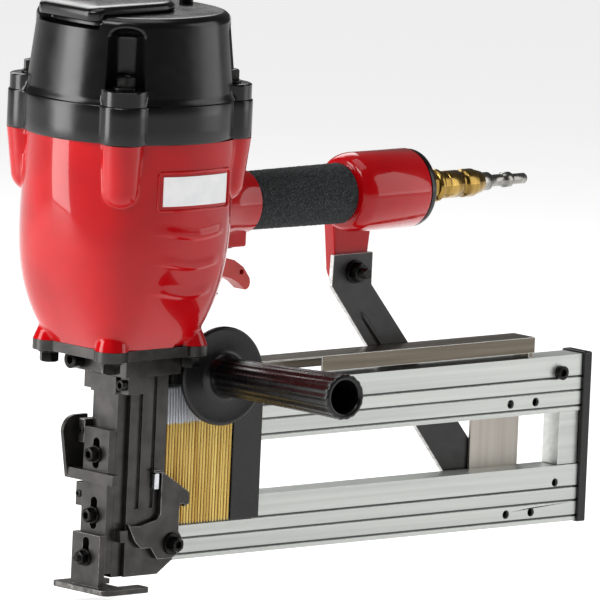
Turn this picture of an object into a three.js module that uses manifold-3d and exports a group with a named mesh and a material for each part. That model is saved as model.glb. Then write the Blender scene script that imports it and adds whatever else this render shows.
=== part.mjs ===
// A pneumatic long-staple nailer: cylinder head, housing, rear handle, nose with a safety foot,
// and a two-rail staple magazine. Millimetres, +Z up, +X towards the handle's air plug.
// The pieces are placed from the drive line (the driver blade's path down the nose). The last
// group moves them so that the origin is under the solid front part of the foot.
import * as THREE from 'three';
import { mergeVertices } from 'three/addons/utils/BufferGeometryUtils.js';
import Module from 'manifold-3d';

const wasm = await Module();
wasm.setup();

// ---- driving sizes -------------------------------------------------------------------------
const GAP = 0.3;                 // clearance between pieces that meet
const FOOT_TO_DRIVE_LINE = 16;   // the origin is this far in front of the drive line

const HOUSING_BOTTOM = 188;
const HOUSING_TOP = 347;
const CAP_SEAM = 376;
const CAP_TOP = 441;
const HEAD_BOLT = 52;            // head bolts stand on a square of twice this
const BASE_BOLT = [39.5, 35];    // X and Y of the base bolts
const BASE_LOBE = 12.9;
const LOBE_RADIUS = 18.5;
const SLEEVE_BORE = 36;
const SLEEVE_OUTER = 40;

const HANDLE_Z = 287;            // axis of the handle
const GRIP_START = 117;
const GRIP_END = 217;
const BULGE_END = 285;
const BULGE_RADIUS = 30.5;

const FLANGE_BOTTOM = 180;
const NOSE_TOP = 164;
const NOSE_BOTTOM = 11;
const NOSE_HALF = 14;            // half width of the nose's front half
const NOSE_BODY_HALF = 17.5;
const SLIDE_FACE = -19.5;        // front face of the contact slide
const SLIDE_BOLTS = [103.5, 57.3];
const FOOT_BOLT_Z = 25.5;

const RAIL_HALF = 10.5;
const RAIL_HEIGHT = 44;
const LOWER_RAIL_Z = 19;
const UPPER_RAIL_Z = 104.5;
const RAIL_START = 2.3;
const RAIL_END = 467;
const CONNECTOR_HOLES = [394, 420];
const RAIL_SCREW_X = 444;
const STAPLE_BOTTOM = 46;
const STAPLE_TOP = 152.4;
const STAPLE_HALF = 12.5;        // half the width over a staple's legs
const WIRE = 1.6;
const STRIP_END = 107;
const STRAP_Y = 13.4;
const STRAP_THICK = 4;
const STRAP_BOLT = [248, 223];   // X and Z of the bolt through the handle's lug
const STRAP_FOOT = [381, 51];    // X and Z of the bolt through the connecting plate
const CHANNEL_TOP = 165;
const CHANNEL_BOTTOM = 152.9;
const CHANNEL_END = 415;

// ---- small tools: closed solids and their placing --------------------------------------------
function solid(geometry) {
  const bare = geometry.clone();
  for (const name of Object.keys(bare.attributes)) {
    if (name !== 'position') bare.deleteAttribute(name);
  }
  const merged = mergeVertices(bare, 1e-4);
  const index = merged.index.array;
  const triangles = [];
  for (let i = 0; i < index.length; i += 3) {
    const [a, b, c] = [index[i], index[i + 1], index[i + 2]];
    if (a !== b && b !== c && c !== a) triangles.push(a, b, c);
  }
  const mesh = new wasm.Mesh({
    numProp: 3,
    vertProperties: Float32Array.from(merged.attributes.position.array),
    triVerts: Uint32Array.from(triangles),
  });
  return new wasm.Manifold(mesh);
}

const join = (first, ...others) => others.reduce((sum, piece) => sum.add(piece), first);
const cut = (first, ...others) => others.reduce((rest, piece) => rest.subtract(piece), first);

function block([x0, x1], [y0, y1], [z0, z1]) {
  const geometry = new THREE.BoxGeometry(x1 - x0, y1 - y0, z1 - z0);
  geometry.translate((x0 + x1) / 2, (y0 + y1) / 2, (z0 + z1) / 2);
  return solid(geometry);
}

// Turns a geometry drawn along +Y so that it runs along the wanted axis.
function turnFromY(geometry, axis) {
  if (axis === 'x') geometry.rotateZ(-Math.PI / 2);
  if (axis === 'z') geometry.rotateX(Math.PI / 2);
  return geometry;
}

// A round bar from a to b along an axis; at gives its place on the other two axes, in X, Y, Z order.
function rod(axis, radius, [a, b], at, sides = 14) {
  const geometry = turnFromY(new THREE.CylinderGeometry(radius, radius, b - a, sides), axis);
  const middle = (a + b) / 2;
  if (axis === 'x') geometry.translate(middle, at[0], at[1]);
  if (axis === 'y') geometry.translate(at[0], middle, at[1]);
  if (axis === 'z') geometry.translate(at[0], at[1], middle);
  return solid(geometry);
}

// A hexagon bar; acrossFlats is its spanner size.
const hexagon = (axis, acrossFlats, span, at) => rod(axis, acrossFlats / Math.sqrt(3), span, at, 6);

// Turns a closed profile of [radius, height] points round an axis.
function lathe(axis, profile, at = [0, 0], sides = 28) {
  const points = profile.map(([radius, height]) => new THREE.Vector2(radius, height));
  points.push(points[0].clone());
  const area = THREE.ShapeUtils.area(points);
  if (area < 0) points.reverse();
  const geometry = turnFromY(new THREE.LatheGeometry(points, sides), axis);
  if (axis === 'x') geometry.translate(0, at[0], at[1]);
  if (axis === 'y') geometry.translate(at[0], 0, at[1]);
  if (axis === 'z') geometry.translate(at[0], at[1], 0);
  return solid(geometry);
}

// Extrudes a flat outline along an axis between two places. The outline is drawn in the other two
// axes: (X, Y) for z, (X, Z) for y and (Y, Z) for x.
function prism(axis, shape, [from, to], curveSegments = 4) {
  const settings = { depth: to - from, bevelEnabled: false, curveSegments };
  const geometry = new THREE.ExtrudeGeometry(shape, settings);
  const place = new THREE.Matrix4();
  if (axis === 'z') place.makeTranslation(0, 0, from);
  if (axis === 'y') place.set(1, 0, 0, 0, 0, 0, -1, to, 0, 1, 0, 0, 0, 0, 0, 1);
  if (axis === 'x') place.set(0, 0, 1, from, 1, 0, 0, 0, 0, 1, 0, 0, 0, 0, 0, 1);
  return solid(geometry.applyMatrix4(place));
}

function outline(points) {
  return new THREE.Shape(points.map(([x, y]) => new THREE.Vector2(x, y)));
}

function roundedRectangle([x0, x1], [y0, y1], radius) {
  const shape = new THREE.Shape();
  shape.moveTo(x0 + radius, y0);
  shape.lineTo(x1 - radius, y0);
  shape.absarc(x1 - radius, y0 + radius, radius, -Math.PI / 2, 0);
  shape.absarc(x1 - radius, y1 - radius, radius, 0, Math.PI / 2);
  shape.absarc(x0 + radius, y1 - radius, radius, Math.PI / 2, Math.PI);
  shape.absarc(x0 + radius, y0 + radius, radius, Math.PI, 1.5 * Math.PI);
  return shape;
}

// A slot with round ends along Z, cut through a plate that faces X.
function slotAlongZ(halfWidth, [z0, z1], [x0, x1]) {
  return prism('x', roundedRectangle([-halfWidth, halfWidth], [z0, z1], halfWidth * 0.98), [x0, x1]);
}

// An upright shell form: at each height the plan is a superellipse. section(height) gives its half
// sizes to the front, rear and side, and the powers of its front and rear halves.
function lofted(heights, section, sides) {
  const last = heights.length - 1;
  const geometry = new THREE.CylinderGeometry(1, 1, 1, sides, last);
  const at = geometry.attributes.position;
  for (let i = 0; i < at.count; i += 1) {
    const height = heights[Math.round((at.getY(i) + 0.5) * last)];
    const angle = Math.atan2(at.getX(i), at.getZ(i));
    const reach = Math.hypot(at.getX(i), at.getZ(i));
    const { front, rear, side, frontPower, rearPower } = section(height);
    const forward = Math.cos(angle) < 0;
    const [half, power] = forward ? [front, frontPower] : [rear, rearPower];
    const radius = ((Math.abs(Math.cos(angle)) / half) ** power
      + (Math.abs(Math.sin(angle)) / side) ** power) ** (-1 / power);
    at.setXYZ(i, reach * radius * Math.cos(angle), reach * radius * Math.sin(angle), height);
  }
  return solid(geometry);
}

const corners = [[-1, -1], [1, -1], [1, 1], [-1, 1]];

const parts = [];

// Adds one named piece to the model.
function add(name, piece, color, roughness, metalness) {
  const mesh = piece.getMesh();
  const geometry = new THREE.BufferGeometry();
  geometry.setAttribute('position', new THREE.Float32BufferAttribute(mesh.vertProperties, 3));
  geometry.setIndex(Array.from(mesh.triVerts));
  const material = new THREE.MeshStandardMaterial({ color, roughness, metalness });
  const node = new THREE.Mesh(geometry, material);
  node.name = name;
  parts.push(node);
}

const redPaint = [0xb8000a, 0.25, 0];
const blackPaint = [0x1c1a1a, 0.45, 0];
const blackSteel = [0x2e2d2c, 0.5, 0.7];
const boltSteel = [0x242323, 0.4, 0.8];
const aluminium = [0xb9bdb9, 0.4, 0.9];
const brightSteel = [0xa8a5a0, 0.3, 0.9];
const blackRubber = [0x242726, 0.85, 0];
const blackPlastic = [0x1a1818, 0.4, 0];
const brass = [0xb08c45, 0.3, 0.9];

// ---- housing: a painted casting that holds the cylinder, with the handle's neck ------------------
// The plan goes from almost round at the top to a rounded rectangle at the bottom.
function housingSection(height) {
  const fall = (HOUSING_TOP - height) / (HOUSING_TOP - HOUSING_BOTTOM);
  const taper = fall ** 2.8;
  return {
    front: 79 - 33 * taper,
    rear: 74 - 28 * taper,
    side: 78 - 35 * taper,
    frontPower: 2.1 + 1.9 * fall,
    rearPower: 2.6 + 1.4 * fall,
  };
}

// A lug round a bolt: a round column that starts at a flange and dies into the housing as it leans in.
function housingLug([x, y], [flange, tip], [flangeRadius, tipRadius], lean) {
  const up = tip > flange;
  const radii = up ? [tipRadius, flangeRadius] : [flangeRadius, tipRadius];
  const depth = Math.abs(tip - flange);
  const geometry = turnFromY(new THREE.CylinderGeometry(...radii, depth, 20), 'z');
  geometry.translate(0, 0, (flange + tip) / 2);
  const at = geometry.attributes.position;
  for (let i = 0; i < at.count; i += 1) {
    const inward = lean * Math.abs(at.getZ(i) - flange) / depth;
    at.setX(i, at.getX(i) + x - Math.sign(x) * inward);
    at.setY(i, at.getY(i) + y - Math.sign(y) * inward);
  }
  return solid(geometry);
}

function makeHousing() {
  const heights = [0, 0.06, 0.16, 0.28, 0.42, 0.58, 0.76, 1]
    .map((share) => HOUSING_BOTTOM + share * (HOUSING_TOP - HOUSING_BOTTOM));
  const shell = lofted(heights, housingSection, 36);
  const neck = lathe('x', [[0, 40], [34, 40], [33, 70], [29, 84], [25.5, 98], [24.3, GRIP_START - GAP],
    [0, GRIP_START - GAP]], [0, HANDLE_Z], 32);
  const headLugs = corners.map(([sx, sy]) =>
    housingLug([sx * HEAD_BOLT, sy * HEAD_BOLT], [HOUSING_TOP, 297], [LOBE_RADIUS, 12.5], 4.5));
  const baseLugs = corners.map(([sx, sy]) =>
    housingLug([sx * BASE_BOLT[0], sy * BASE_BOLT[1]], [HOUSING_BOTTOM, 216], [BASE_LOBE, 7], 4));
  const valveBlock = prism('y', roundedRectangle([55, 113], [254, 282], 2), [-12, 12]);
  const ears = [-1, 1].map((side) => prism('y', roundedRectangle([50, 86], [233, 252], 4),
    side < 0 ? [-11.5, -7.5] : [7.5, 11.5]));
  const cavity = lathe('z', [[0, HOUSING_BOTTOM - 1], [SLEEVE_OUTER + 0.5, HOUSING_BOTTOM - 1],
    [SLEEVE_OUTER + 0.5, 232], [60, 300], [60, HOUSING_TOP - 6.6], [62.2, HOUSING_TOP - 6.6],
    [62.2, HOUSING_TOP + 1], [0, HOUSING_TOP + 1]]);
  const airway = rod('x', 14, [30, GRIP_START + 1], [0, HANDLE_Z]);
  const tubeSocket = rod('x', 18.5, [108.5, GRIP_START + 1], [0, HANDLE_Z], 28);
  const valveBore = rod('z', 8.3, [253, 280], [99, 0]);
  const pinHole = rod('y', 2.3, [-12, 12], [78, 241], 16);
  const blockPinHole = rod('y', 1.7, [-13, 13], [110, 267], 12);
  const plateRecess = block([-30, 32], [-90, -75.6], [300, 324]);
  const headHoles = corners.map(([sx, sy]) =>
    rod('z', 4.5, [324, HOUSING_TOP + 1], [sx * HEAD_BOLT, sy * HEAD_BOLT], 16));
  const baseHoles = corners.map(([sx, sy]) =>
    rod('z', 3.6, [HOUSING_BOTTOM - 1, 206], [sx * BASE_BOLT[0], sy * BASE_BOLT[1]], 12));
  const casting = join(shell, ...headLugs, ...baseLugs, neck, valveBlock, ...ears);
  return cut(casting, cavity, airway, tubeSocket, valveBore, pinHole, blockPinHole, plateRecess,
    ...headHoles, ...baseHoles);
}
add('main_housing', makeHousing(), ...redPaint);

// ---- head: ring, cap, exhaust deflector and their bolts -------------------------------------------
function headSection(halfWidth, power) {
  return { front: halfWidth, rear: halfWidth, side: halfWidth, frontPower: power, rearPower: power };
}

function makeHeadRing() {
  const span = [HOUSING_TOP + GAP, CAP_SEAM];
  const body = lofted(span, () => headSection(79, 2.15), 36);
  const lobes = corners.map(([sx, sy]) =>
    rod('z', LOBE_RADIUS, span, [sx * HEAD_BOLT, sy * HEAD_BOLT]));
  const bore = rod('z', 62, [HOUSING_TOP - 1, CAP_SEAM + 1], [0, 0], 32);
  const holes = corners.map(([sx, sy]) =>
    rod('z', 4.5, [HOUSING_TOP - 1, CAP_SEAM + 1], [sx * HEAD_BOLT, sy * HEAD_BOLT], 16));
  return cut(join(body, ...lobes), bore, ...holes);
}
add('head_ring', makeHeadRing(), ...blackPaint);

const BOSS_TOP = 388;
const topScrewAt = [52, 0];

function makeCap() {
  const base = CAP_SEAM + GAP;
  const heights = [base, base + 20, base + 42, CAP_TOP - 7, CAP_TOP - 2.2, CAP_TOP];
  const shell = lofted(heights, (height) => {
    const share = (height - base) / (CAP_TOP - base);
    const edge = Math.max(0, height - (CAP_TOP - 7)) / 7;
    return headSection(76 - 7 * share - 6 * (1 - Math.sqrt(1 - edge * edge)), 2.35);
  }, 36);
  const bosses = corners.map(([sx, sy]) =>
    rod('z', 17.4, [base, BOSS_TOP], [sx * HEAD_BOLT, sy * HEAD_BOLT]));
  const channels = corners.map(([sx, sy]) =>
    rod('z', 12.5, [BOSS_TOP, CAP_TOP + 9], [sx * HEAD_BOLT, sy * HEAD_BOLT]));
  const holes = corners.map(([sx, sy]) =>
    rod('z', 4.5, [base - 1, BOSS_TOP + 1], [sx * HEAD_BOLT, sy * HEAD_BOLT], 16));
  const cavity = lathe('z', [[0, base - 1], [60, base - 1], [58, 420], [50, 430], [0, 430]]);
  const exhaustSlot = block([-90, -58], [-33, 33], [432, CAP_TOP + 1]);
  const screwHole = rod('z', 2.6, [432, CAP_TOP + 1], topScrewAt, 12);
  return cut(join(shell, ...bosses), ...channels, ...holes, cavity, exhaustSlot, screwHole);
}
add('cylinder_cap', makeCap(), ...blackPaint);

function makeDeflector() {
  const plan = roundedRectangle([-70, 24], [-35, 35], 12);
  const plate = prism('z', plan, [CAP_TOP + 0.1, CAP_TOP + 7]);
  const lip = prism('z', roundedRectangle([-70, -60], [-32.5, 32.5], 4), [CAP_TOP - 4, CAP_TOP + 6]);
  const relief = rod('y', 40, [-40, 40], [-86, CAP_TOP + 44], 32);
  return cut(join(plate, lip), relief);
}
add('exhaust_deflector', makeDeflector(), ...blackPaint);

const topScrew = join(rod('z', 5.5, [CAP_TOP + 0.1, CAP_TOP + 5], topScrewAt),
  rod('z', 2.3, [434, CAP_TOP + 1], topScrewAt, 12));
const topSocket = hexagon('z', 4, [CAP_TOP + 2.4, CAP_TOP + 6], topScrewAt);
add('deflector_screw', cut(topScrew, topSocket), ...boltSteel);

corners.forEach(([sx, sy], i) => {
  const at = [sx * HEAD_BOLT, sy * HEAD_BOLT];
  const head = hexagon('z', 13.5, [BOSS_TOP + 1.8, BOSS_TOP + 10], at);
  const washer = rod('z', 9.2, [BOSS_TOP + 0.1, BOSS_TOP + 1.9], at);
  const shank = rod('z', 4.1, [327, BOSS_TOP + 1], at, 16);
  const socket = rod('z', 4.2, [BOSS_TOP + 6.5, BOSS_TOP + 11], at, 12);
  add(`cap_bolt_${i + 1}`, cut(join(head, washer, shank), socket), ...boltSteel);
});

// ---- inside the head: sleeve, piston and driver, bumper, head valve and its spring -----------------
const SLEEVE_TOP = 366;
add('cylinder_sleeve', lathe('z', [[SLEEVE_BORE, HOUSING_BOTTOM + 1], [SLEEVE_OUTER, HOUSING_BOTTOM + 1],
  [SLEEVE_OUTER, HOUSING_TOP - 6.3], [61.6, HOUSING_TOP - 6.3], [61.6, HOUSING_TOP - GAP],
  [SLEEVE_OUTER, HOUSING_TOP - GAP], [SLEEVE_OUTER, SLEEVE_TOP], [SLEEVE_BORE, SLEEVE_TOP]]), ...brightSteel);

const PISTON_BOTTOM = 351.5;
add('piston', lathe('z', [[0, PISTON_BOTTOM], [35.6, PISTON_BOTTOM], [35.6, 355], [33.6, 355], [33.6, 359],
  [35.6, 359], [35.6, 362.5], [14, 362.5], [14, 365], [0, 365]]), ...aluminium);
add('driver_blade', block([-1.2, 1.2], [-12.4, 12.4], [153.6, PISTON_BOTTOM - 0.1]), ...brightSteel);

const driverSlot = (span) => block([-1.8, 1.8], [-13, 13], span);
const bumperBody = lathe('z', [[0, HOUSING_BOTTOM + 1.3], [35.4, HOUSING_BOTTOM + 1.3], [35.4, 199],
  [31, 206], [0, 206]]);
add('bumper', cut(bumperBody, driverSlot([187, 207])), ...blackRubber);

add('head_valve', lathe('z', [[0, SLEEVE_TOP + 0.2], [44, SLEEVE_TOP + 0.2], [44, 371], [56, 373], [56, 388],
  [28, 391], [0, 391]]), ...blackPlastic);
add('head_valve_spring', lathe('z', [[22, 391.3], [25.5, 391.3], [25.5, 429.6], [22, 429.6]], [0, 0], 24),
  ...brightSteel);

// ---- rear handle: grip tube, air chamber and the strap's lug in one casting ------------------------
function makeRearHandle() {
  const shoulder = [0, 0.25, 0.5, 0.75, 1].map((t) => {
    const angle = t * Math.PI / 2;
    return [24 + (BULGE_RADIUS - 24) * Math.sin(angle), GRIP_END + 13 - 13 * Math.cos(angle)];
  });
  const body = lathe('x', [[0, 109], [18, 109], [18, GRIP_START], [19.4, GRIP_START], [19.4, GRIP_END],
    ...shoulder, [BULGE_RADIUS, BULGE_END - 2], [BULGE_RADIUS - 2, BULGE_END], [0, BULGE_END]],
  [0, HANDLE_Z], 40);
  const lug = new THREE.Shape();
  lug.moveTo(228, HANDLE_Z);
  lug.lineTo(232, STRAP_BOLT[1] + 4);
  lug.absarc(STRAP_BOLT[0], STRAP_BOLT[1] + 4, 16, Math.PI, 2 * Math.PI);
  lug.lineTo(270, HANDLE_Z);
  const bore = lathe('x', [[0, 108], [13, 108], [13, 230], [24, 236], [24, 273], [11, 277],
    [11, BULGE_END + 1], [0, BULGE_END + 1]], [0, HANDLE_Z], 32);
  const boltHole = rod('y', 4.5, [16, 33], STRAP_BOLT, 16);
  return cut(join(body, prism('y', lug, [STRAP_Y + STRAP_THICK + 0.1, 30])), bore, boltHole);
}
add('rear_handle', makeRearHandle(), ...redPaint);

add('handle_grip', lathe('x', [[19.7, GRIP_START + GAP], [22, GRIP_START + GAP], [22.4, GRIP_START + 3],
  [23.2, 190], [23.2, GRIP_END - 3], [22.6, GRIP_END - GAP], [19.7, GRIP_END - GAP]],
[0, HANDLE_Z], 32), ...blackRubber);

// ---- air inlet: tail cap, brass hexagon, swivel and plug -------------------------------------------
const HEX_START = 292;
const SWIVEL_START = 316.3;
const PLUG_START = 360.3;
add('tail_cap', lathe('x', [[9, BULGE_END + GAP], [29.6, BULGE_END + GAP], [29.6, 288],
  [27.5, HEX_START - 0.4], [9, HEX_START - 0.4]], [0, HANDLE_Z], 40), ...blackPlastic);

const handleAxis = [0, HANDLE_Z];
const inletHex = join(hexagon('x', 21, [HEX_START, 310], handleAxis),
  rod('x', 8.7, [278, HEX_START + 1], handleAxis),
  rod('x', 12.6, [310, SWIVEL_START - GAP], handleAxis));
add('air_inlet_hex', cut(inletHex, rod('x', 4, [277, 317], handleAxis, 16)), ...brass);

add('swivel_body', lathe('x', [[4, SWIVEL_START], [10.6, SWIVEL_START], [10.6, 336], [9.6, 337],
  [9.6, 340], [10.8, 341], [10.8, 353], [8.4, 360], [4, 360]], handleAxis, 24), ...brass);
add('air_plug', lathe('x', [[2.6, PLUG_START], [7, PLUG_START], [7, 369], [4.6, 372], [4.6, 382],
  [5.9, 384], [5.9, 391], [4.1, 393], [4.1, 407], [2.6, 407]], handleAxis, 24), ...brightSteel);

// ---- trigger and its valve ---------------------------------------------------------------------------
function makeTrigger() {
  const shape = new THREE.Shape();
  shape.moveTo(72, 238);
  shape.absarc(78, 241, 6, 1.2 * Math.PI, 0.4 * Math.PI, true);
  shape.quadraticCurveTo(112, 249, 122.5, 229);
  shape.quadraticCurveTo(125, 221, 118.5, 220);
  shape.quadraticCurveTo(106, 233, 84, 232.5);
  const blade = prism('y', shape, [-6.5, 6.5]);
  const pivot = rod('y', 2.3, [-8, 8], [78, 241], 16);
  const fingerHole = rod('y', 2, [-8, 8], [114, 234], 12);
  return cut(blade, pivot, fingerHole);
}
add('trigger', makeTrigger(), 0xc23a2c, 0.4, 0);
add('trigger_pin', rod('y', 2, [-12, 12], [78, 241], 16), ...boltSteel);

const VALVE_X = 99;
const valveAt = [VALVE_X, 0];
add('trigger_valve_body', lathe('z', [[2.9, 253], [8, 253], [8, 273.5], [6.3, 273.5], [6.3, 261], [2.9, 261]],
  valveAt), ...boltSteel);
add('valve_stem', lathe('z', [[0, 247.6], [2.2, 247.6], [2.6, 249], [2.6, 261.6], [5.6, 261.6], [5.6, 264],
  [2, 264], [2, 267.5], [0, 267.5]], valveAt, 20), ...brightSteel);
add('valve_spring', lathe('z', [[3, 264.3], [5, 264.3], [5, 274], [3, 274]], valveAt, 16), ...brightSteel);

// ---- base flange and nose ----------------------------------------------------------------------------
function makeBaseFlange() {
  const span = [FLANGE_BOTTOM, HOUSING_BOTTOM - GAP];
  const plate = prism('z', roundedRectangle([-46, 46], [-43, 43], 8), span);
  const bolts = corners.map(([sx, sy]) => [sx * BASE_BOLT[0], sy * BASE_BOLT[1]]);
  const lobes = bolts.map((at) => rod('z', BASE_LOBE, span, at, 28));
  const holes = bolts.map((at) => rod('z', 3.9, [FLANGE_BOTTOM - 1, HOUSING_BOTTOM], at, 12));
  return cut(join(plate, ...lobes), driverSlot([FLANGE_BOTTOM - 1, HOUSING_BOTTOM]), ...holes);
}
add('base_flange', makeBaseFlange(), ...blackSteel);

corners.forEach(([sx, sy], i) => {
  const at = [sx * BASE_BOLT[0], sy * BASE_BOLT[1]];
  const washer = rod('z', 8.6, [178, FLANGE_BOTTOM - 0.1], at, 20);
  const head = hexagon('z', 13, [170.5, 178.1], at);
  add(`base_bolt_${i + 1}`, join(head, washer, rod('z', 3.3, [178, 205], at, 12)), ...boltSteel);
});

const NOSE_SCREW = [28, 171.5];  // Y and Z of the clamp screw
const EAR_SCREW = [-20.4, 158];  // Y and Z of the smaller screw in the near ear

function makeNoseBody() {
  const rearBlock = outline([[-2.2, NOSE_BOTTOM], [31, NOSE_BOTTOM], [46, 21], [46, 50], [34.7, 54],
    [34.7, NOSE_TOP + 1], [-2.2, NOSE_TOP + 1]]);
  const walls = prism('y', rearBlock, [-NOSE_BODY_HALF, NOSE_BODY_HALF]);
  const top = block([-15, 40], [-25, 25], [NOSE_TOP, FLANGE_BOTTOM - GAP]);
  const clampEar = block([-15, 2], [24, 36], [NOSE_TOP, FLANGE_BOTTOM - GAP]);
  const frontEars = [-1, 1].map((side) =>
    block([-12, 6], side < 0 ? [-25, -16] : [16, 25], [151, NOSE_TOP + 1]));
  const stapleSlot = block([-3, 50], [-13, 13], [STAPLE_BOTTOM - 0.5, STAPLE_TOP + 0.9]);
  const driveChannel = block([-3, 1.8], [-13, 13], [NOSE_BOTTOM - 1, STAPLE_TOP]);
  const railSlot = block([1.7, 50], [-RAIL_HALF - GAP, RAIL_HALF + GAP], [LOWER_RAIL_Z - GAP, 60]);
  const sideGrooves = [[5, 10], [20, 24]].flatMap((span) => [-1, 1].map((side) =>
    block(span, side < 0 ? [-20, -15.6] : [15.6, 20], [62, NOSE_TOP])));
  const latchHole = rod('y', 3.2, [-18, -12], [41, 34], 12);
  const frontScrewHole = rod('x', 3.2, [-16, -6], NOSE_SCREW, 12);
  const earScrewHole = rod('x', 2.2, [-13, -5], EAR_SCREW, 12);
  return cut(join(walls, top, clampEar, ...frontEars), stapleSlot, driveChannel, railSlot, driverSlot([150, FLANGE_BOTTOM]),
    ...sideGrooves, latchHole, frontScrewHole, earScrewHole);
}
add('nose_body', makeNoseBody(), ...blackSteel);

// The front half closes the drive channel; a pocket behind the slide holds the return spring.
const SPRING_POCKET = [66, 92];

function makeNoseFront() {
  const column = block([-12, -2.5], [-NOSE_HALF, NOSE_HALF], [NOSE_BOTTOM, NOSE_TOP - GAP]);
  const keeper = block([-10, -3], [-21, -13], [38, 47]);
  const ridge = block([-15, -11], [-NOSE_HALF, NOSE_HALF], [150, NOSE_TOP - GAP]);
  const pocket = block([-13, -6.5], [-3.2, 3.2], SPRING_POCKET);
  const holes = SLIDE_BOLTS.map((z) => rod('x', 3.3, [-13, -3.5], [0, z], 12));
  return cut(join(column, keeper, ridge), pocket, ...holes);
}
add('nose_front', makeNoseFront(), ...blackSteel);

const clampScrew = join(rod('x', 6.5, [-25, -15.1], NOSE_SCREW), rod('x', 2.9, [-16, -8], NOSE_SCREW, 12));
add('nose_screw_1', cut(clampScrew, hexagon('x', 5.5, [-26, -19], NOSE_SCREW)), ...boltSteel);
const earScrew = join(rod('x', 4.3, [-17, -12.1], EAR_SCREW), rod('x', 1.9, [-13, -6], EAR_SCREW, 12));
add('nose_screw_2', cut(earScrew, hexagon('x', 4, [-18, -14], EAR_SCREW)), ...boltSteel);

// Two blocks on the far side keep the contact slide in line.
[119, 71].forEach((z, i) => {
  const body = block([-19.3, -3], [NOSE_HALF + GAP, 21], [z - 9, z + 9]);
  const screwHole = rod('x', 2.2, [-20, -15], [17.6, z], 12);
  add(`guide_block_${i + 1}`, cut(body, screwHole), ...blackSteel);
});

// ---- safety contact: slide with cross bar and guard, spring, foot -------------------------------------
function makeContactSlide() {
  const plate = block([SLIDE_FACE, -12.3], [-NOSE_HALF, NOSE_HALF], [14, 123]);
  const bar = block([-26, SLIDE_FACE + 0.5], [-27, 27], [83, 91]);
  const guardShape = new THREE.Shape();
  guardShape.moveTo(-26, 83);
  guardShape.lineTo(-8, 83);
  guardShape.lineTo(-8, 130);
  guardShape.absarc(-20, 118, 12, Math.PI / 2, Math.PI);
  const guard = prism('y', guardShape, [24, 27]);
  const springSeat = block([-12.5, -7], [-2.6, 2.6], [66.5, 70]);
  const slots = [[92.5, 116], [46.5, 71]].map((span) => slotAlongZ(3.6, span, [-30, -11]));
  const footHole = rod('x', 3.3, [-20, -12], [0, FOOT_BOLT_Z], 12);
  return join(cut(join(plate, bar, guard), ...slots, footHole), springSeat);
}
add('contact_slide', makeContactSlide(), ...blackSteel);
add('contact_spring', lathe('z', [[1.4, 70.3], [2.3, 70.3], [2.3, SPRING_POCKET[1] - 0.2],
  [1.4, SPRING_POCKET[1] - 0.2]], [-9.4, 0], 16), ...brightSteel);

SLIDE_BOLTS.forEach((z, i) => {
  const washer = rod('x', 6.6, [SLIDE_FACE - 1.9, SLIDE_FACE - 0.3], [0, z]);
  const head = hexagon('x', 9.5, [SLIDE_FACE - 8, SLIDE_FACE - 1.8], [0, z]);
  const shank = rod('x', 3, [SLIDE_FACE - 1, -4], [0, z], 12);
  const socket = rod('x', 2.8, [SLIDE_FACE - 9, SLIDE_FACE - 4], [0, z], 6);
  add(`slide_bolt_${i + 1}`, cut(join(head, washer, shank), socket), ...boltSteel);
});

function makeFoot() {
  const sole = prism('z', roundedRectangle([-32, 14], [-31, 31], 5), [0, 4]);
  const upright = block([-26, SLIDE_FACE - 0.4], [-15.5, 15.5], [1, 43.5]);
  const staplePath = block([-6, 15], [-16, 16], [-1, 5]);
  return cut(join(sole, upright), staplePath, slotAlongZ(3.6, [19.5, 41], [-30, -15]));
}
add('contact_foot', makeFoot(), ...blackSteel);

const footBoltAt = [0, FOOT_BOLT_Z];
const footBolt = join(rod('x', 6.6, [-27.9, -26.3], footBoltAt), hexagon('x', 9.5, [-33, -27.8], footBoltAt),
  rod('x', 3, [-36, -12.6], footBoltAt, 12));
add('foot_bolt', footBolt, ...boltSteel);

// ---- jam-clearing latch on the near side of the nose ----------------------------------------------------
const LATCH_PIVOT = [41, 34];

function makeLatch() {
  const shape = outline([[13, 23], [44, 23], [47, 30], [47, 62], [52, 59], [57, 61], [57, 70], [27, 90],
    [19, 91], [19, 82], [25, 74], [25, 54], [16, 49.5], [3, 49.5], [-7, 53], [-7, 48], [-2, 47.6],
    [4, 44], [11, 36]]);
  const plate = prism('y', shape, [-22, -18.3]);
  const window = block([30, 36], [-23, -17], [60, 72]);
  const hole = rod('y', 3.4, [-23, -17], LATCH_PIVOT, 16);
  return cut(plate, window, hole);
}
add('latch_lever', makeLatch(), ...blackSteel);

const latchBolt = join(rod('y', 8.5, [-24.2, -22.3], LATCH_PIVOT), hexagon('y', 10, [-30, -24.1], LATCH_PIVOT),
  rod('y', 3, [-25, -12.5], LATCH_PIVOT, 12));
add('latch_bolt', cut(latchBolt, rod('y', 2.8, [-31, -26.5], LATCH_PIVOT, 6)), ...boltSteel);

// ---- magazine: two hollow grooved rails, their end pieces and straps ------------------------------------
const RAIL_SCREW_UP = 31;       // height of the rear screw hole above a rail's underside

// One side of the rail has three small grooves; going up the side gives the outline's points.
function grooveSteps(side) {
  const depth = 1.2;
  const half = 0.9;
  return [4, 16, 26.7].flatMap((up) => [[side, up - half], [side - Math.sign(side) * depth, up - half],
    [side - Math.sign(side) * depth, up + half], [side, up + half]]);
}

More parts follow.
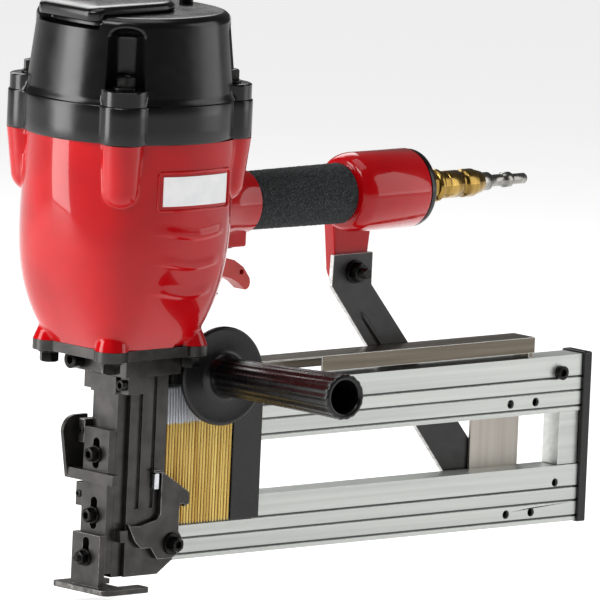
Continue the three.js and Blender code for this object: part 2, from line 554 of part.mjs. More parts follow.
function makeRail(bottom) {
  const near = grooveSteps(-RAIL_HALF).reverse();
  const far = grooveSteps(RAIL_HALF);
  const section = outline([[-RAIL_HALF, 0], [RAIL_HALF, 0], ...far, [RAIL_HALF, RAIL_HEIGHT],
    [-RAIL_HALF, RAIL_HEIGHT], ...near].map(([y, z]) => [y, z + bottom]));
  const bar = prism('x', section, [RAIL_START, RAIL_END]);
  const chambers = [[3, 20], [23, 41]].map(([low, high]) =>
    block([RAIL_START - 1, RAIL_END + 1], [-7.5, 7.5], [bottom + low, bottom + high]));
  const holes = CONNECTOR_HOLES.map((x) => rod('y', 3.4, [-12, 12], [x, bottom + 9.6], 16));
  const screwHole = rod('y', 3.2, [-12, 12], [RAIL_SCREW_X, bottom + RAIL_SCREW_UP], 16);
  return cut(bar, ...chambers, ...holes, screwHole);
}
add('upper_rail', makeRail(UPPER_RAIL_Z), ...aluminium);
add('lower_rail', makeRail(LOWER_RAIL_Z), ...aluminium);

add('rear_end_plate', prism('x', roundedRectangle([-13, 13], [LOWER_RAIL_Z - 1, 150], 1.5), [RAIL_END + GAP, RAIL_END + 8]),
  ...blackPaint);
add('rail_spacer', block([447, RAIL_END], [-9, 9], [LOWER_RAIL_Z + RAIL_HEIGHT + GAP, UPPER_RAIL_Z - GAP]),
  ...aluminium);

const railScrewAt = [RAIL_SCREW_X, UPPER_RAIL_Z + RAIL_SCREW_UP];
const railScrew = join(rod('y', 5.5, [-15, -RAIL_HALF - 0.1], railScrewAt),
  rod('y', 2.9, [-11, -3], railScrewAt, 12));
add('rail_screw', cut(railScrew, rod('y', 2.8, [-16, -12.5], railScrewAt, 6)), ...boltSteel);

function makeConnectingPlate() {
  const plate = prism('y', roundedRectangle([373, 423], [22, 145], 3), [RAIL_HALF + GAP, 13]);
  return cut(plate, rod('y', 3.3, [10, 14], STRAP_FOOT, 12));
}
add('connecting_plate', makeConnectingPlate(), 0xa39d95, 0.35, 0.9);

function makeStrap() {
  const shape = new THREE.Shape();
  shape.moveTo(226, 237);
  shape.lineTo(225, 213);
  shape.lineTo(356, 53);
  shape.absarc(373, 49, 17, Math.PI, 1.95 * Math.PI);
  shape.lineTo(396, 60);
  shape.lineTo(266, 212);
  shape.lineTo(266, 237);
  const plate = prism('y', shape, [STRAP_Y, STRAP_Y + STRAP_THICK]);
  return cut(plate, rod('y', 4.5, [12, 20], STRAP_BOLT, 16), rod('y', 3.3, [12, 20], STRAP_FOOT, 16));
}
add('strap', makeStrap(), ...blackPaint);

const strapBolt = join(rod('y', 9, [11.2, STRAP_Y - 0.1], STRAP_BOLT), hexagon('y', 13, [4.5, 11.3], STRAP_BOLT),
  rod('y', 4, [-2, 37], STRAP_BOLT, 16), hexagon('y', 13, [30.3, 36], STRAP_BOLT));
add('strap_bolt', strapBolt, ...boltSteel);
const strapFootBolt = join(rod('y', 3, [10.9, 19], STRAP_FOOT, 12),
  hexagon('y', 10, [STRAP_Y + STRAP_THICK + 0.1, 22], STRAP_FOOT));
add('strap_foot_bolt', strapFootBolt, ...boltSteel);

// ---- cover channel over the upper rail, pusher with its spring, staple strip ------------------------------
function makeChannel() {
  const body = block([101, CHANNEL_END], [-12.2, 12.2], [CHANNEL_BOTTOM, CHANNEL_TOP]);
  const inside = block([100, CHANNEL_END - 4], [-11, 11], [CHANNEL_BOTTOM - 1, CHANNEL_TOP - 1.2]);
  const openSide = block([100, 195], [-13, -10.9], [CHANNEL_BOTTOM - 1, CHANNEL_TOP - 1.2]);
  const footBottom = UPPER_RAIL_Z + RAIL_HEIGHT + GAP;
  const rearFoot = block([CHANNEL_END - 4, CHANNEL_END], [-10, 10], [footBottom, CHANNEL_TOP - 1]);
  return join(cut(body, inside, openSide), rearFoot);
}
add('cover_channel', makeChannel(), 0x6f695c, 0.35, 0.85);

// The pusher's cheeks run outside the rails; a bridge joins them between the rails and one above.
function makePusher() {
  const body = block([STRIP_END + GAP, 136], [-13, 13], [STAPLE_BOTTOM, 151.9]);
  const lowerGap = block([100, 140], [-10.8, 10.8], [40, LOWER_RAIL_Z + RAIL_HEIGHT + GAP]);
  const upperGap = block([100, 140], [-10.8, 10.8], [UPPER_RAIL_Z - GAP, UPPER_RAIL_Z + RAIL_HEIGHT + GAP]);
  const springPost = block([128, 134], [-3, 3], [151, 156]);
  return join(cut(body, lowerGap, upperGap), springPost);
}
add('pusher', makePusher(), ...blackSteel);
add('pusher_spring', lathe('y', [[1.5, -5], [5.4, -5], [5.4, 5], [1.5, 5]], [120, 158], 24), ...brightSteel);

// The strip is a row of glued wire staples, closed up into one solid.
function makeStrip() {
  const pitch = 2.9;
  const count = Math.floor((STRIP_END - 2) / pitch);
  const body = block([2, 2 + count * pitch], [-STAPLE_HALF, STAPLE_HALF], [STAPLE_BOTTOM, STAPLE_TOP]);
  const innerHalf = STAPLE_HALF - WIRE;
  const inner = block([0, 120], [-innerHalf, innerHalf], [STAPLE_BOTTOM - 1, STAPLE_TOP - WIRE]);
  return cut(body, inner);
}
add('staple_strip', makeStrip(), 0xc9a04a, 0.35, 0.8);

// ---- auxiliary handle and its bracket ----------------------------------------------------------------------
// The handle leans 2.5 degrees up and 6 degrees to the front from its place on the bracket.
const AUX_AT = new THREE.Vector3(81, -24, 159.5);
const AUX_TURN = new THREE.Euler(THREE.MathUtils.degToRad(-2.5), 0, THREE.MathUtils.degToRad(-6), 'ZXY');

// Makes a solid of a geometry drawn round the origin along Y, at the auxiliary handle's place.
function placeAux(geometry) {
  const turn = new THREE.Matrix4().makeRotationFromEuler(AUX_TURN).setPosition(AUX_AT);
  return solid(geometry.applyMatrix4(turn));
}

function makeAuxHandle() {
  const tubeLength = 160;
  const flutes = 18;
  const levels = 3;
  const tube = new THREE.CylinderGeometry(1, 1, tubeLength - 2, flutes * 2, levels);
  const at = tube.attributes.position;
  for (let i = 0; i < at.count; i += 1) {
    const share = (tubeLength - 2) / 2 - at.getY(i);
    const radius = 14.3 + 2.7 * (share / tubeLength) ** 2;
    const angle = Math.atan2(at.getX(i), at.getZ(i));
    const fluted = radius * (1 + 0.025 * Math.cos(flutes * angle));
    at.setX(i, at.getX(i) * fluted);
    at.setZ(i, at.getZ(i) * fluted);
  }
  tube.translate(0, -tubeLength / 2 - 1, 0);
  const disc = [[0, 0], [36, 0], [37.5, -1.5], [37.5, -3.5], [36, -5], [17.5, -6], [15.6, -9], [0, -9]];
  const points = disc.map(([radius, height]) => new THREE.Vector2(radius, height)).reverse();
  points.push(points[0].clone());
  const guard = placeAux(new THREE.LatheGeometry(points, 36));
  const bore = new THREE.CylinderGeometry(12.2, 12.2, tubeLength - 8, 24);
  bore.translate(0, -tubeLength / 2 - 8, 0);
  const studHole = new THREE.CylinderGeometry(6.4, 6.4, 30, 16);
  return cut(join(placeAux(tube), guard), placeAux(bore), placeAux(studHole));
}
add('aux_handle', makeAuxHandle(), ...blackPlastic);

function makeAuxBracket() {
  const body = block([40.4, 100], [-15, 15], [154, 171.5]);
  const bossLength = 9.5;
  const boss = new THREE.CylinderGeometry(8.6, 8.6, bossLength, 20);
  boss.translate(0, GAP + bossLength / 2, 0);
  const stud = new THREE.CylinderGeometry(6, 6, 22, 16);
  return join(body, placeAux(boss), placeAux(stud));
}
add('aux_bracket', makeAuxBracket(), ...blackSteel);

// ---- the whole tool ------------------------------------------------------------------------------------------
const group = new THREE.Group();
group.position.x = FOOT_TO_DRIVE_LINE;
group.add(...parts);

export default group;
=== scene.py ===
import math

import bmesh
import bpy
import mathutils
import numpy as np
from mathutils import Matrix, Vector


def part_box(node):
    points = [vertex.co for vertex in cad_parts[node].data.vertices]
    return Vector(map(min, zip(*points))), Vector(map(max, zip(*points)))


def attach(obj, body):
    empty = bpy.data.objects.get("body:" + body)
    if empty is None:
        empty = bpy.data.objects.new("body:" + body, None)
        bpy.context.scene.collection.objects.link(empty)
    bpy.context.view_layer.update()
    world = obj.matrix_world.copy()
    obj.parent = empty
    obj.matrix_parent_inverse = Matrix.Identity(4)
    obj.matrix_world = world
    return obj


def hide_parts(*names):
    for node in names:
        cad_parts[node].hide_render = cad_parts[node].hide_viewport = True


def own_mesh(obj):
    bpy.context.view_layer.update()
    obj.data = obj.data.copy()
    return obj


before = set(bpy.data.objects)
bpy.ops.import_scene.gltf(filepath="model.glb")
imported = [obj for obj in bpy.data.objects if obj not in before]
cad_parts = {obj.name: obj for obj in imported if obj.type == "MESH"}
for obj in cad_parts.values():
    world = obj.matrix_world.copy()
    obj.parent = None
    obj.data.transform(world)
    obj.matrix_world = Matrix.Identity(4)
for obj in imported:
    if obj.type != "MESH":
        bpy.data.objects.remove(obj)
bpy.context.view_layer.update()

# ---- housing ---------------------------------------------------------------------------------
# An aluminium casting with thick glossy red enamel. It holds the cylinder, has a lug under each
# head bolt and over each base bolt, louvre-like ribs on its sides, and the neck of the handle.
MM = 0.001


def box_mm(node):
    """The lowest and highest corners of a CAD node, in millimetres."""
    low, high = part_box(node)
    return np.array(low) / MM, np.array(high) / MM


def skin(grid, ring=False):
    """Points and faces over a grid of points [row, column]. Columns run round the piece and meet.
    The last row is joined to the first in a ring; otherwise both end rows are closed by a face."""
    rows, columns = grid.shape[:2]
    row = np.arange(rows if ring else rows - 1)[:, None]
    column = np.arange(columns)[None, :]
    ahead, beside = (row + 1) % rows, (column + 1) % columns
    corners = np.broadcast_arrays(row * columns + column, row * columns + beside,
                                  ahead * columns + beside, ahead * columns + column)
    faces = np.stack(corners, -1).reshape(-1, 4).tolist()
    if not ring:
        faces += [list(range(columns)), list(range((rows - 1) * columns, rows * columns))]
    return grid.reshape(-1, 3), faces


def gathered(*forms):
    """Several forms as one set of points and faces."""
    points, faces, start = [], [], 0
    for some_points, some_faces in forms:
        points.append(some_points)
        faces += [[start + i for i in face] for face in some_faces]
        start += len(some_points)
    return np.concatenate(points), faces


def piece(name, form, body, slot, finishes, stands_for=(), rounded=0.0, steps=2, pick=None, sharp=38):
    """An object from points in millimetres and faces, on a body, with its edges rounded. pick gives
    each face's finish from the faces' directions and middles; a rounded edge takes the last finish."""
    points, faces = form
    mesh = bpy.data.meshes.new(name)
    mesh.from_pydata(points * MM, [], faces)
    shell = bmesh.new()
    shell.from_mesh(mesh)
    bmesh.ops.recalc_face_normals(shell, faces=shell.faces)
    shell.to_mesh(mesh)
    shell.free()
    for finish in finishes:
        mesh.materials.append(finish)
    mesh.polygons.foreach_set("use_smooth", np.ones(len(mesh.polygons), bool))
    if pick:
        normals = np.empty(len(mesh.polygons) * 3, np.float32)
        mesh.polygons.foreach_get("normal", normals)
        middles = np.empty(len(mesh.polygons) * 3, np.float32)
        mesh.polygons.foreach_get("center", middles)
        chosen = pick(normals.reshape(-1, 3), middles.reshape(-1, 3) / MM)
        mesh.polygons.foreach_set("material_index", chosen.astype(np.int32))
    made = bpy.data.objects.new(name, mesh)
    bpy.context.scene.collection.objects.link(made)
    mesh.set_sharp_from_angle(angle=math.radians(sharp))
    if rounded:
        edge = made.modifiers.new("edge", "BEVEL")
        edge.width, edge.segments, edge.limit_method = rounded * MM, steps, "ANGLE"
        edge.angle_limit, edge.harden_normals = math.radians(sharp), True
        edge.material = len(finishes) - 1
    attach(made, body)
    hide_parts(*stands_for)
    return made


def linear(colour):
    """An sRGB hex colour as linear red, green, blue and alpha."""
    srgb = np.array([int(colour[i:i + 2], 16) for i in (1, 3, 5)]) / 255
    return (*np.where(srgb > 0.04045, ((srgb + 0.055) / 1.055) ** 2.4, srgb / 12.92), 1.0)


def put(tree, kind, settings, sockets):
    """Adds a node with its settings; each socket takes a value, or another node's output."""
    node = tree.nodes.new("ShaderNode" + kind)
    for name, value in settings.items():
        setattr(node, name, value)
    for name, value in sockets.items():
        if isinstance(value, bpy.types.NodeSocket):
            tree.links.new(value, node.inputs[name])
        else:
            node.inputs[name].default_value = value
    return node


def mottle(tree, where, size, low, high):
    """A value that wanders between low and high, in patches about size millimetres across."""
    noise = put(tree, "TexNoise", {}, {"Vector": where, "Scale": 1 / (size * MM), "Detail": 3.0})
    return put(tree, "MapRange", {}, {"Value": noise.outputs[0], "From Min": 0.32, "From Max": 0.68,
                                      "To Min": low, "To Max": high}).outputs[0]


def surface(name, dark, light, patch, rough, grain, relief, stretch=(1, 1, 1), **constants):
    """A finish whose colour wanders from dark to light in patches of patch mm, its roughness between
    two values, with bumps grain mm apart and relief mm high; stretch draws the bumps out."""
    material = bpy.data.materials.new(name)
    material.use_nodes = True
    tree = material.node_tree
    tree.nodes.clear()
    place = put(tree, "TexCoord", {}, {}).outputs["Object"]
    drawn = put(tree, "Mapping", {}, {"Vector": place, "Scale": stretch}).outputs[0]
    tone = put(tree, "Mix", {"data_type": "RGBA"}, {0: mottle(tree, drawn, patch, 0, 1),
                                                    6: linear(dark), 7: linear(light)})
    height = put(tree, "TexNoise", {}, {"Vector": drawn, "Scale": 1 / (grain * MM), "Detail": 2.0})
    bump = put(tree, "Bump", {}, {"Height": height.outputs[0], "Distance": relief * MM})
    shader = put(tree, "BsdfPrincipled", {}, {
        "Base Color": tone.outputs[2], "Roughness": mottle(tree, drawn, patch * 0.4, *rough),
        "Normal": bump.outputs[0]})
    for socket, value in constants.items():
        shader.inputs[socket.replace("_", " ")].default_value = value
    put(tree, "OutputMaterial", {}, {"Surface": shader.outputs[0]})
    return material


# Glossy red enamel over a casting: a clear wet gloss with a faint orange-peel swell, drawn coarser
# than the real one so that it shows.
red_enamel = surface("red_enamel", "#a60008", "#bd020c", 60, (0.16, 0.26), 7, 0.05,
                     Coat_Weight=0.85, Coat_Roughness=0.03, Coat_IOR=1.36, Specular_IOR_Level=0.1)

sleeve_low, sleeve_high = box_mm("cylinder_sleeve")
BORE_X = (sleeve_low[0] + sleeve_high[0]) / 2
housing_low, housing_high = box_mm("main_housing")
FLOOR_Z, ROOF_Z = housing_low[2], housing_high[2]
grip_low, grip_high = box_mm("handle_grip")
HANDLE_Z = (grip_low[2] + grip_high[2]) / 2
# The head bolts stand at the corners of a square, 52 mm each way from the bore's axis. The base bolts
# stand at those of a rectangle. Each has a round lobe of the radius given after it.
HEAD_BOLT, LOBE = 52 * math.sqrt(2), 18.5
BASE_BOLT, BASE_LOBE = (39.5, 35.0), 12.9


def swell(a, b, width):
    """The larger of two values, with a fillet of about width millimetres where they cross."""
    mix = np.clip(0.5 + 0.5 * (a - b) / width, 0, 1)
    return b + (a - b) * mix + width * mix * (1 - mix)


def ease(value):
    """Rises smoothly from 0 to 1 as value does."""
    value = np.clip(value, 0, 1)
    return value * value * (3 - 2 * value)


def column_reach(angle, toward, distance, radius):
    """How far from the axis a ray at angle leaves a round column that stands at a distance."""
    turn = (angle - toward + np.pi) % (2 * np.pi) - np.pi
    depth = radius ** 2 - (distance * np.sin(turn)) ** 2
    met = (depth > 0) & (np.abs(turn) < np.pi / 2)
    return np.where(met, distance * np.cos(turn) + np.sqrt(np.maximum(depth, 0)), 0.0)


def rounded_plan(angle, front, rear, side, front_power, rear_power):
    """Distance to a superellipse whose half sizes and powers differ to the front and rear."""
    ahead = np.cos(angle) < 0
    half, power = np.where(ahead, front, rear), np.where(ahead, front_power, rear_power)
    total = np.abs(np.cos(angle) / half) ** power + np.abs(np.sin(angle) / side) ** power
    return total ** (-1 / power)


def housing_plan(z):
    """Half sizes and powers of the bare shell: round at the top, a rounded rectangle below."""
    fall = (ROOF_Z - z) / (ROOF_Z - FLOOR_Z)
    taper = fall ** 3.2
    return 77.8 - 31.8 * taper, 74 - 28 * taper, 77.2 - 34.2 * taper, \
        2.05 + 2.6 * fall ** 2.5, 2.6 + 2.0 * fall ** 2.5


def housing_form():
    """Shell, lugs, ribs and rear panels as one distance from the axis at each angle and height. The
    rear panel is sunk; its edges stand at an angle that spreads towards the bottom, and the grid has
    finer columns there. A rib is a shelf that fades upwards and ends sharply below."""
    panel, panel_depth = np.radians(61), 2.4
    rib_heights, rib_middle, rib_proud = (280, 257, 234), np.radians(84), 1.2
    fine = np.radians(np.arange(-2.0, 2.01, 0.4))
    turns = np.concatenate([np.linspace(-np.pi, np.pi, 330, endpoint=False), fine + panel, fine - panel])
    angle = np.sort(turns)[None, :]
    z = np.linspace(FLOOR_Z, ROOF_Z, 190)[:, None]
    spread = np.radians(10) * ease((235 - z) / 41)
    angle = angle + np.sign(angle) * spread * ease(1 - np.abs(np.abs(angle) - panel) / np.radians(26))
    reach = rounded_plan(angle, *housing_plan(z))
    inside_panel = ease((panel + spread - np.abs(angle)) / np.radians(1.3))
    reach = reach - panel_depth * inside_panel * ease((ROOF_Z - 4 - z) / 30)
    near_side = ease((np.abs(angle) - np.radians(63)) / np.radians(8)) \
        * ease((np.radians(119) - np.abs(angle)) / np.radians(18))
    for height in rib_heights:
        line = height - 4.5 * ease(1 - np.abs(np.abs(angle) - rib_middle) / np.radians(30))
        shelf = np.where(z > line, ease(1 - (z - line) / 9), ease(1 - (line - z) / 2.2))
        reach = reach + rib_proud * shelf * near_side
    head_share = np.clip((ROOF_Z - z) / 50, 0, 1)
    head_end = np.sqrt(1 - np.clip((ROOF_Z - 36 - z) / 13, 0, 1) ** 2)
    base_share = np.clip((z - FLOOR_Z) / 28, 0, 1.15)
    for toward in np.radians([-135, -45, 45, 135]):
        head = column_reach(angle, toward, HEAD_BOLT + 3.2 - 4.6 * head_share,
                            (LOBE - 3.2 - 1.8 * head_share) * head_end + 0.01)
        reach = swell(reach, head, 1.6)
        corner = math.atan2(np.sign(math.sin(toward)) * BASE_BOLT[1],
                            np.sign(math.cos(toward)) * BASE_BOLT[0])
        base = column_reach(angle, corner, math.hypot(*BASE_BOLT) - 5.6 * base_share,
                            BASE_LOBE - 5.9 * base_share)
        reach = swell(reach, np.where(base_share < 1.1, base, 0), 2.0)
    outer = np.stack([reach * np.cos(angle) + BORE_X, reach * np.sin(angle), z + 0 * angle], -1)
    bore = np.array([[62.2, ROOF_Z], [62.2, ROOF_Z - 6.6], [60, ROOF_Z - 6.6], [60, 300], [40.5, 232],
                     [40.5, FLOOR_Z]])[:, :, None]
    bore_angle = angle[:1] + 0 * bore[:, 0]
    inner = np.stack([bore[:, 0] * np.cos(bore_angle) + BORE_X, bore[:, 0] * np.sin(bore_angle),
                      bore[:, 1] + 0 * bore_angle], -1)
    return skin(np.concatenate([outer, inner]), ring=True)


def turned(axis, profile, at, sides=72, ring=True):
    """A turned shape: (radius, place along the axis) pairs go round the axis, which passes at."""
    radius, along = np.array(profile, float).T[:, :, None]
    angle = np.linspace(0, 2 * np.pi, sides, endpoint=False)[None, :]
    across, up = radius * np.cos(angle), radius * np.sin(angle)
    along = along + 0 * angle
    if axis == "x":
        grid = np.stack([along, at[0] + across, at[1] + up], -1)
    elif axis == "y":
        grid = np.stack([at[0] + across, along, at[1] + up], -1)
    else:
        grid = np.stack([at[0] + across, at[1] + up, along], -1)
    return skin(grid, ring)


def extruded(axis, outline, span):
    """A flat outline carried along an axis: (X, Z) outlines go along y, and (X, Y) ones along z."""
    flat = np.array(outline, float)
    rows = []
    for place in span:
        along = np.full((len(flat), 1), float(place))
        rows.append(np.hstack([flat, along] if axis == "z" else [flat[:, :1], along, flat[:, 1:]]))
    return skin(np.stack(rows))


def rounded_rectangle(low, high, radius, steps=6):
    """The outline of a rectangle whose corners are arcs."""
    low, high = np.array(low, float) + radius, np.array(high, float) - radius
    corners = [(high[0], high[1]), (low[0], high[1]), (low[0], low[1]), (high[0], low[1])]
    arcs = [np.array(corner) + radius * np.array([(math.cos(t), math.sin(t)) for t in
            np.linspace(i * np.pi / 2, (i + 1) * np.pi / 2, steps)]) for i, corner in enumerate(corners)]
    return np.concatenate(arcs)


neck = turned("x", [[14, BORE_X + 62], [34, BORE_X + 62], [33.4, BORE_X + 68], [31.6, BORE_X + 76],
                    [28.6, BORE_X + 86], [26.2, BORE_X + 96], [24.9, BORE_X + 106],
                    [24.3, BORE_X + 116.6], [18.5, BORE_X + 116.6], [18.5, BORE_X + 108.5],
                    [14, BORE_X + 108.5]], (0, HANDLE_Z), 96)
valve_block = extruded("y", rounded_rectangle((BORE_X + 58, 254), (BORE_X + 113, 282), 2), (-12, 12))
ears = [extruded("y", rounded_rectangle((BORE_X + 52, 233), (BORE_X + 86, 253), 4), span)
        for span in ((-11.5, -7.5), (7.5, 11.5))]
piece("housing_casting", housing_form(), "tool", "red_paint", [red_enamel], ["main_housing"], sharp=50)
piece("handle_neck", neck, "tool", "red_paint", [red_enamel], rounded=0.6)
piece("trigger_housing", gathered(valve_block, *ears), "tool", "red_paint", [red_enamel], rounded=1.6,
      steps=3)

# The block has a cross pin whose end shows as a small hole on each side, coloured as painted shade:
# dull black, with no gloss, as the shade in a deep hole looks.
painted_hole_shade = surface("painted_hole_shade", "#080808", "#111010", 5, (0.7, 0.9), 1, 0.02)
piece("block_pin_painted_hole", turned("y", [[0.3, -12.1], [1.9, -12.1], [1.9, 12.1], [0.3, 12.1]],
                          (BORE_X + 110, 267), 24, ring=False), "tool", "red_paint", [painted_hole_shade])

# ---- nameplate -------------------------------------------------------------------------------
# A blank white vinyl label in a cast frame on the near side: a low half-round bead with the label
# stuck flat inside it, following the curve of the housing.


def on_housing(x, z, lift):
    """The point of the near side at x from the bore and height z, lifted outwards by lift."""
    front, rear, side, front_power, rear_power = housing_plan(z)
    power = np.where(x < 0, front_power, rear_power)
    y = -side * (1 - (np.abs(x) / np.where(x < 0, front, rear)) ** power) ** (1 / power)
    out = 1 + lift / np.hypot(x, y)
    return np.stack([x * out + BORE_X, y * out, z + 0 * x], -1)


def tube(path, radius, sides=10, ring=True):
    """A round bead along a path: at each point a circle across the path's direction."""
    ahead = np.roll(path, -1, 0) - np.roll(path, 1, 0)
    if not ring:
        ahead[0], ahead[-1] = path[1] - path[0], path[-1] - path[-2]
    ahead /= np.linalg.norm(ahead, axis=1)[:, None]
    hint = np.array([0.31, 0.93, 0.17])
    aside = np.cross(ahead, hint)
    aside /= np.linalg.norm(aside, axis=1)[:, None]
    upward = np.cross(aside, ahead)
    angle = np.linspace(0, 2 * np.pi, sides, endpoint=False)[None, :, None]
    grid = path[:, None] + np.asarray(radius).reshape(-1, 1, 1) * (
        np.cos(angle) * aside[:, None] + np.sin(angle) * upward[:, None])
    return skin(grid, ring)


def slab(front, back):
    """A closed plate between two grids of points of the same size."""
    rows, columns = front.shape[:2]
    index = np.arange(rows * columns).reshape(rows, columns)
    quads = np.stack([index[:-1, :-1], index[:-1, 1:], index[1:, 1:], index[1:, :-1]], -1).reshape(-1, 4)
    rim = np.concatenate([index[0, :-1], index[:-1, -1], index[-1, :0:-1], index[:0:-1, 0]])
    count = rows * columns
    sides = [[rim[i], rim[(i + 1) % len(rim)], rim[(i + 1) % len(rim)] + count, rim[i] + count]
             for i in range(len(rim))]
    return (np.concatenate([front.reshape(-1, 3), back.reshape(-1, 3)]),
            quads.tolist() + (quads + count)[:, ::-1].tolist() + sides)


# Blank vinyl under a clear film: plain white with a soft sheen.
white_vinyl = surface("white_vinyl", "#f1f2f3", "#fafafa", 9, (0.4, 0.5), 3, 0.01)
PLATE_X, PLATE_Z = (-31.5, 37.5), (297.5, 326.5)
bead = rounded_rectangle((PLATE_X[0], PLATE_Z[0]), (PLATE_X[1], PLATE_Z[1]), 3, 8)
closed_bead = np.concatenate([bead, bead[:1]])
walked = np.concatenate([[0], np.cumsum(np.linalg.norm(np.diff(closed_bead, axis=0), axis=1))])
even = np.linspace(0, walked[-1], 220, endpoint=False)
line_x, line_z = np.interp(even, walked, closed_bead[:, 0]), np.interp(even, walked, closed_bead[:, 1])
piece("nameplate_frame", tube(on_housing(line_x, line_z, 0.1), 1.15, 12), "tool", "red_paint",
      [red_enamel])
label_x, label_z = np.meshgrid(np.linspace(-28, 33.5, 60), np.linspace(301, 323.2, 12))
piece("blank_label", slab(on_housing(label_x, label_z, 0.8), on_housing(label_x, label_z, -0.4)),
      "tool", "red_paint", [white_vinyl])

# ---- base flange and its bolts ---------------------------------------------------------------
# A black-oxide steel plate with a lobe at each corner, clamped under the housing by four hexagon
# bolts with washers. Handling has worn its edges to bare metal, and their lighter finish is also a painted
# highlight.


def cad_form(node):
    """A CAD node's own shape: doubles merged and flat facets joined, as points and faces."""
    shell = bmesh.new()
    shell.from_mesh(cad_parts[node].data)
    bmesh.ops.remove_doubles(shell, verts=shell.verts, dist=0.00002)
    bmesh.ops.dissolve_limit(shell, angle_limit=math.radians(1), verts=shell.verts, edges=shell.edges)
    shell.verts.index_update()
    points = np.array([vertex.co for vertex in shell.verts]) / MM
    faces = [[vertex.index for vertex in face.verts] for face in shell.faces]
    shell.free()
    return points, faces


def eased(name, node, body, slot, finishes, width, steps=2, **more):
    """A CAD node's own shape with its edges rounded to width mm."""
    return piece(name, cad_form(node), body, slot, finishes, [node], width, steps, **more)


# Black oxide on machined steel: nearly black, a soft sheen, fine tool marks.
black_oxide = surface("black_oxide", "#3a3938", "#4c4a48", 16, (0.28, 0.4), 0.9, 0.05, Metallic=0.85)
# The same steel where handling has worn the oxide off its edges, and lighter also as a painted highlight
# along each rounded edge: grey, and brighter in places.
worn_and_highlit_edge = surface("worn_and_highlit_edge", "#5a5957", "#9a9894", 5, (0.28, 0.42), 0.8, 0.03, Metallic=0.9)
# Black oxide on cold-formed screws: oily black with small highlights.
bolt_steel = surface("bolt_steel", "#131212", "#2a2928", 6, (0.25, 0.4), 0.7, 0.02, Metallic=0.85)
eased("flange_plate", "base_flange", "tool", "black_steel", [black_oxide, worn_and_highlit_edge], 0.7)


def head(across, height, sides=6, socket=0.0):
    """A bolt head standing on z = 0. Its corners are turned off to a circle at the top, and a
    hexagon socket may go down into it. A head with no sides is round."""
    angle = np.linspace(0, 2 * np.pi, 48, endpoint=False)
    flat = across / 2
    corner = np.cos((angle + np.pi / 6) % (np.pi / 3) - np.pi / 6)
    reach = flat / corner if sides else flat + 0 * angle
    rim = np.full_like(angle, flat * 0.93)
    rows = [(reach * 0.985, 0), (reach, 0.3), (reach, height - (reach - rim) * 0.6), (rim, height)]
    if socket:
        key = socket / 2 / corner
        rows += [(key * 1.08, height), (key, height - 0.5), (key, height * 0.4)]
    return skin(np.stack([np.stack([r * np.cos(angle), r * np.sin(angle), h + 0 * angle], -1)
                          for r, h in rows]))


def thread(radius, length, pitch=1.25):
    """A threaded end standing on z = 0: the radius falls and rises once in each pitch and turn."""
    z = np.arange(0, length, pitch / 4)[:, None]
    angle = np.linspace(0, 2 * np.pi, 24, endpoint=False)[None, :]
    wave = np.abs(((z / pitch + angle / (2 * np.pi)) % 1) - 0.5) * 2
    reach = (radius - 0.65 * wave * (z < length - pitch)) - 0.5 * (z >= length - pitch)
    return skin(np.stack([reach * np.cos(angle), reach * np.sin(angle), z + 0 * angle], -1))


def stand(form, foot, toward):
    """A form drawn along +Z, moved to stand at foot and point along toward."""
    points, faces = form
    ahead = np.array(toward, float) / np.linalg.norm(toward)
    aside = np.cross([0.0, 0.0, 1.0] if abs(ahead[2]) < 0.9 else [1.0, 0.0, 0.0], ahead)
    aside /= np.linalg.norm(aside)
    turn = np.stack([aside, np.cross(ahead, aside), ahead])
    return points @ turn + np.array(foot, float), faces


def washer(radius, thick):
    """A flat washer standing on z = 0, as a disc with a slightly rolled edge."""
    return turned("z", [[radius * 0.6, 0], [radius - 0.3, 0], [radius, 0.3], [radius, thick - 0.3],
                        [radius - 0.3, thick], [radius * 0.6, thick]], (0, 0), 48, ring=False)


WASHER_SEAT = 180
for i in range(4):
    low, high = box_mm(f"base_bolt_{i + 1}")
    at = ((low + high) / 2)[:2]
    piece(f"flange_bolt_{i + 1}", gathered(
        stand(washer(8.6, 1.9), [*at, WASHER_SEAT], (0, 0, -1)),
        stand(head(13, 7.4), [*at, WASHER_SEAT - 2], (0, 0, -1))),
        "tool", "bolt_steel", [bolt_steel], [f"base_bolt_{i + 1}"])

# ---- nose ------------------------------------------------------------------------------------
# Two machined black-oxide steel halves that guide the staples, with screws into ear blocks, and two
# small blocks that keep the contact slide in line.
eased("nose_block", "nose_body", "tool", "black_steel", [black_oxide, worn_and_highlit_edge], 0.6)
eased("nose_cover", "nose_front", "tool", "black_steel", [black_oxide, worn_and_highlit_edge], 0.6)
for number, across, height, key in ((1, 13, 10, 5.5), (2, 8.6, 5, 4)):
    low, high = box_mm(f"nose_screw_{number}")
    middle = (low + high) / 2
    piece(f"nose_cap_screw_{number}",
          stand(head(across, height, 0, key), [low[0] + height, *middle[1:]], (-1, 0, 0)),
          "tool", "bolt_steel", [bolt_steel], [f"nose_screw_{number}"])
for i in (1, 2):
    low, high = box_mm(f"guide_block_{i}")
    middle = (low + high) / 2
    eased(f"slide_guide_{i}", f"guide_block_{i}", "tool", "black_steel", [black_oxide, worn_and_highlit_edge], 0.6)
    piece(f"slide_guide_screw_{i}", stand(head(5.6, 1.6, 0, 2.5), [low[0] + 0.6, middle[1], middle[2]],
                                          (-1, 0, 0)), "tool", "bolt_steel", [bolt_steel])

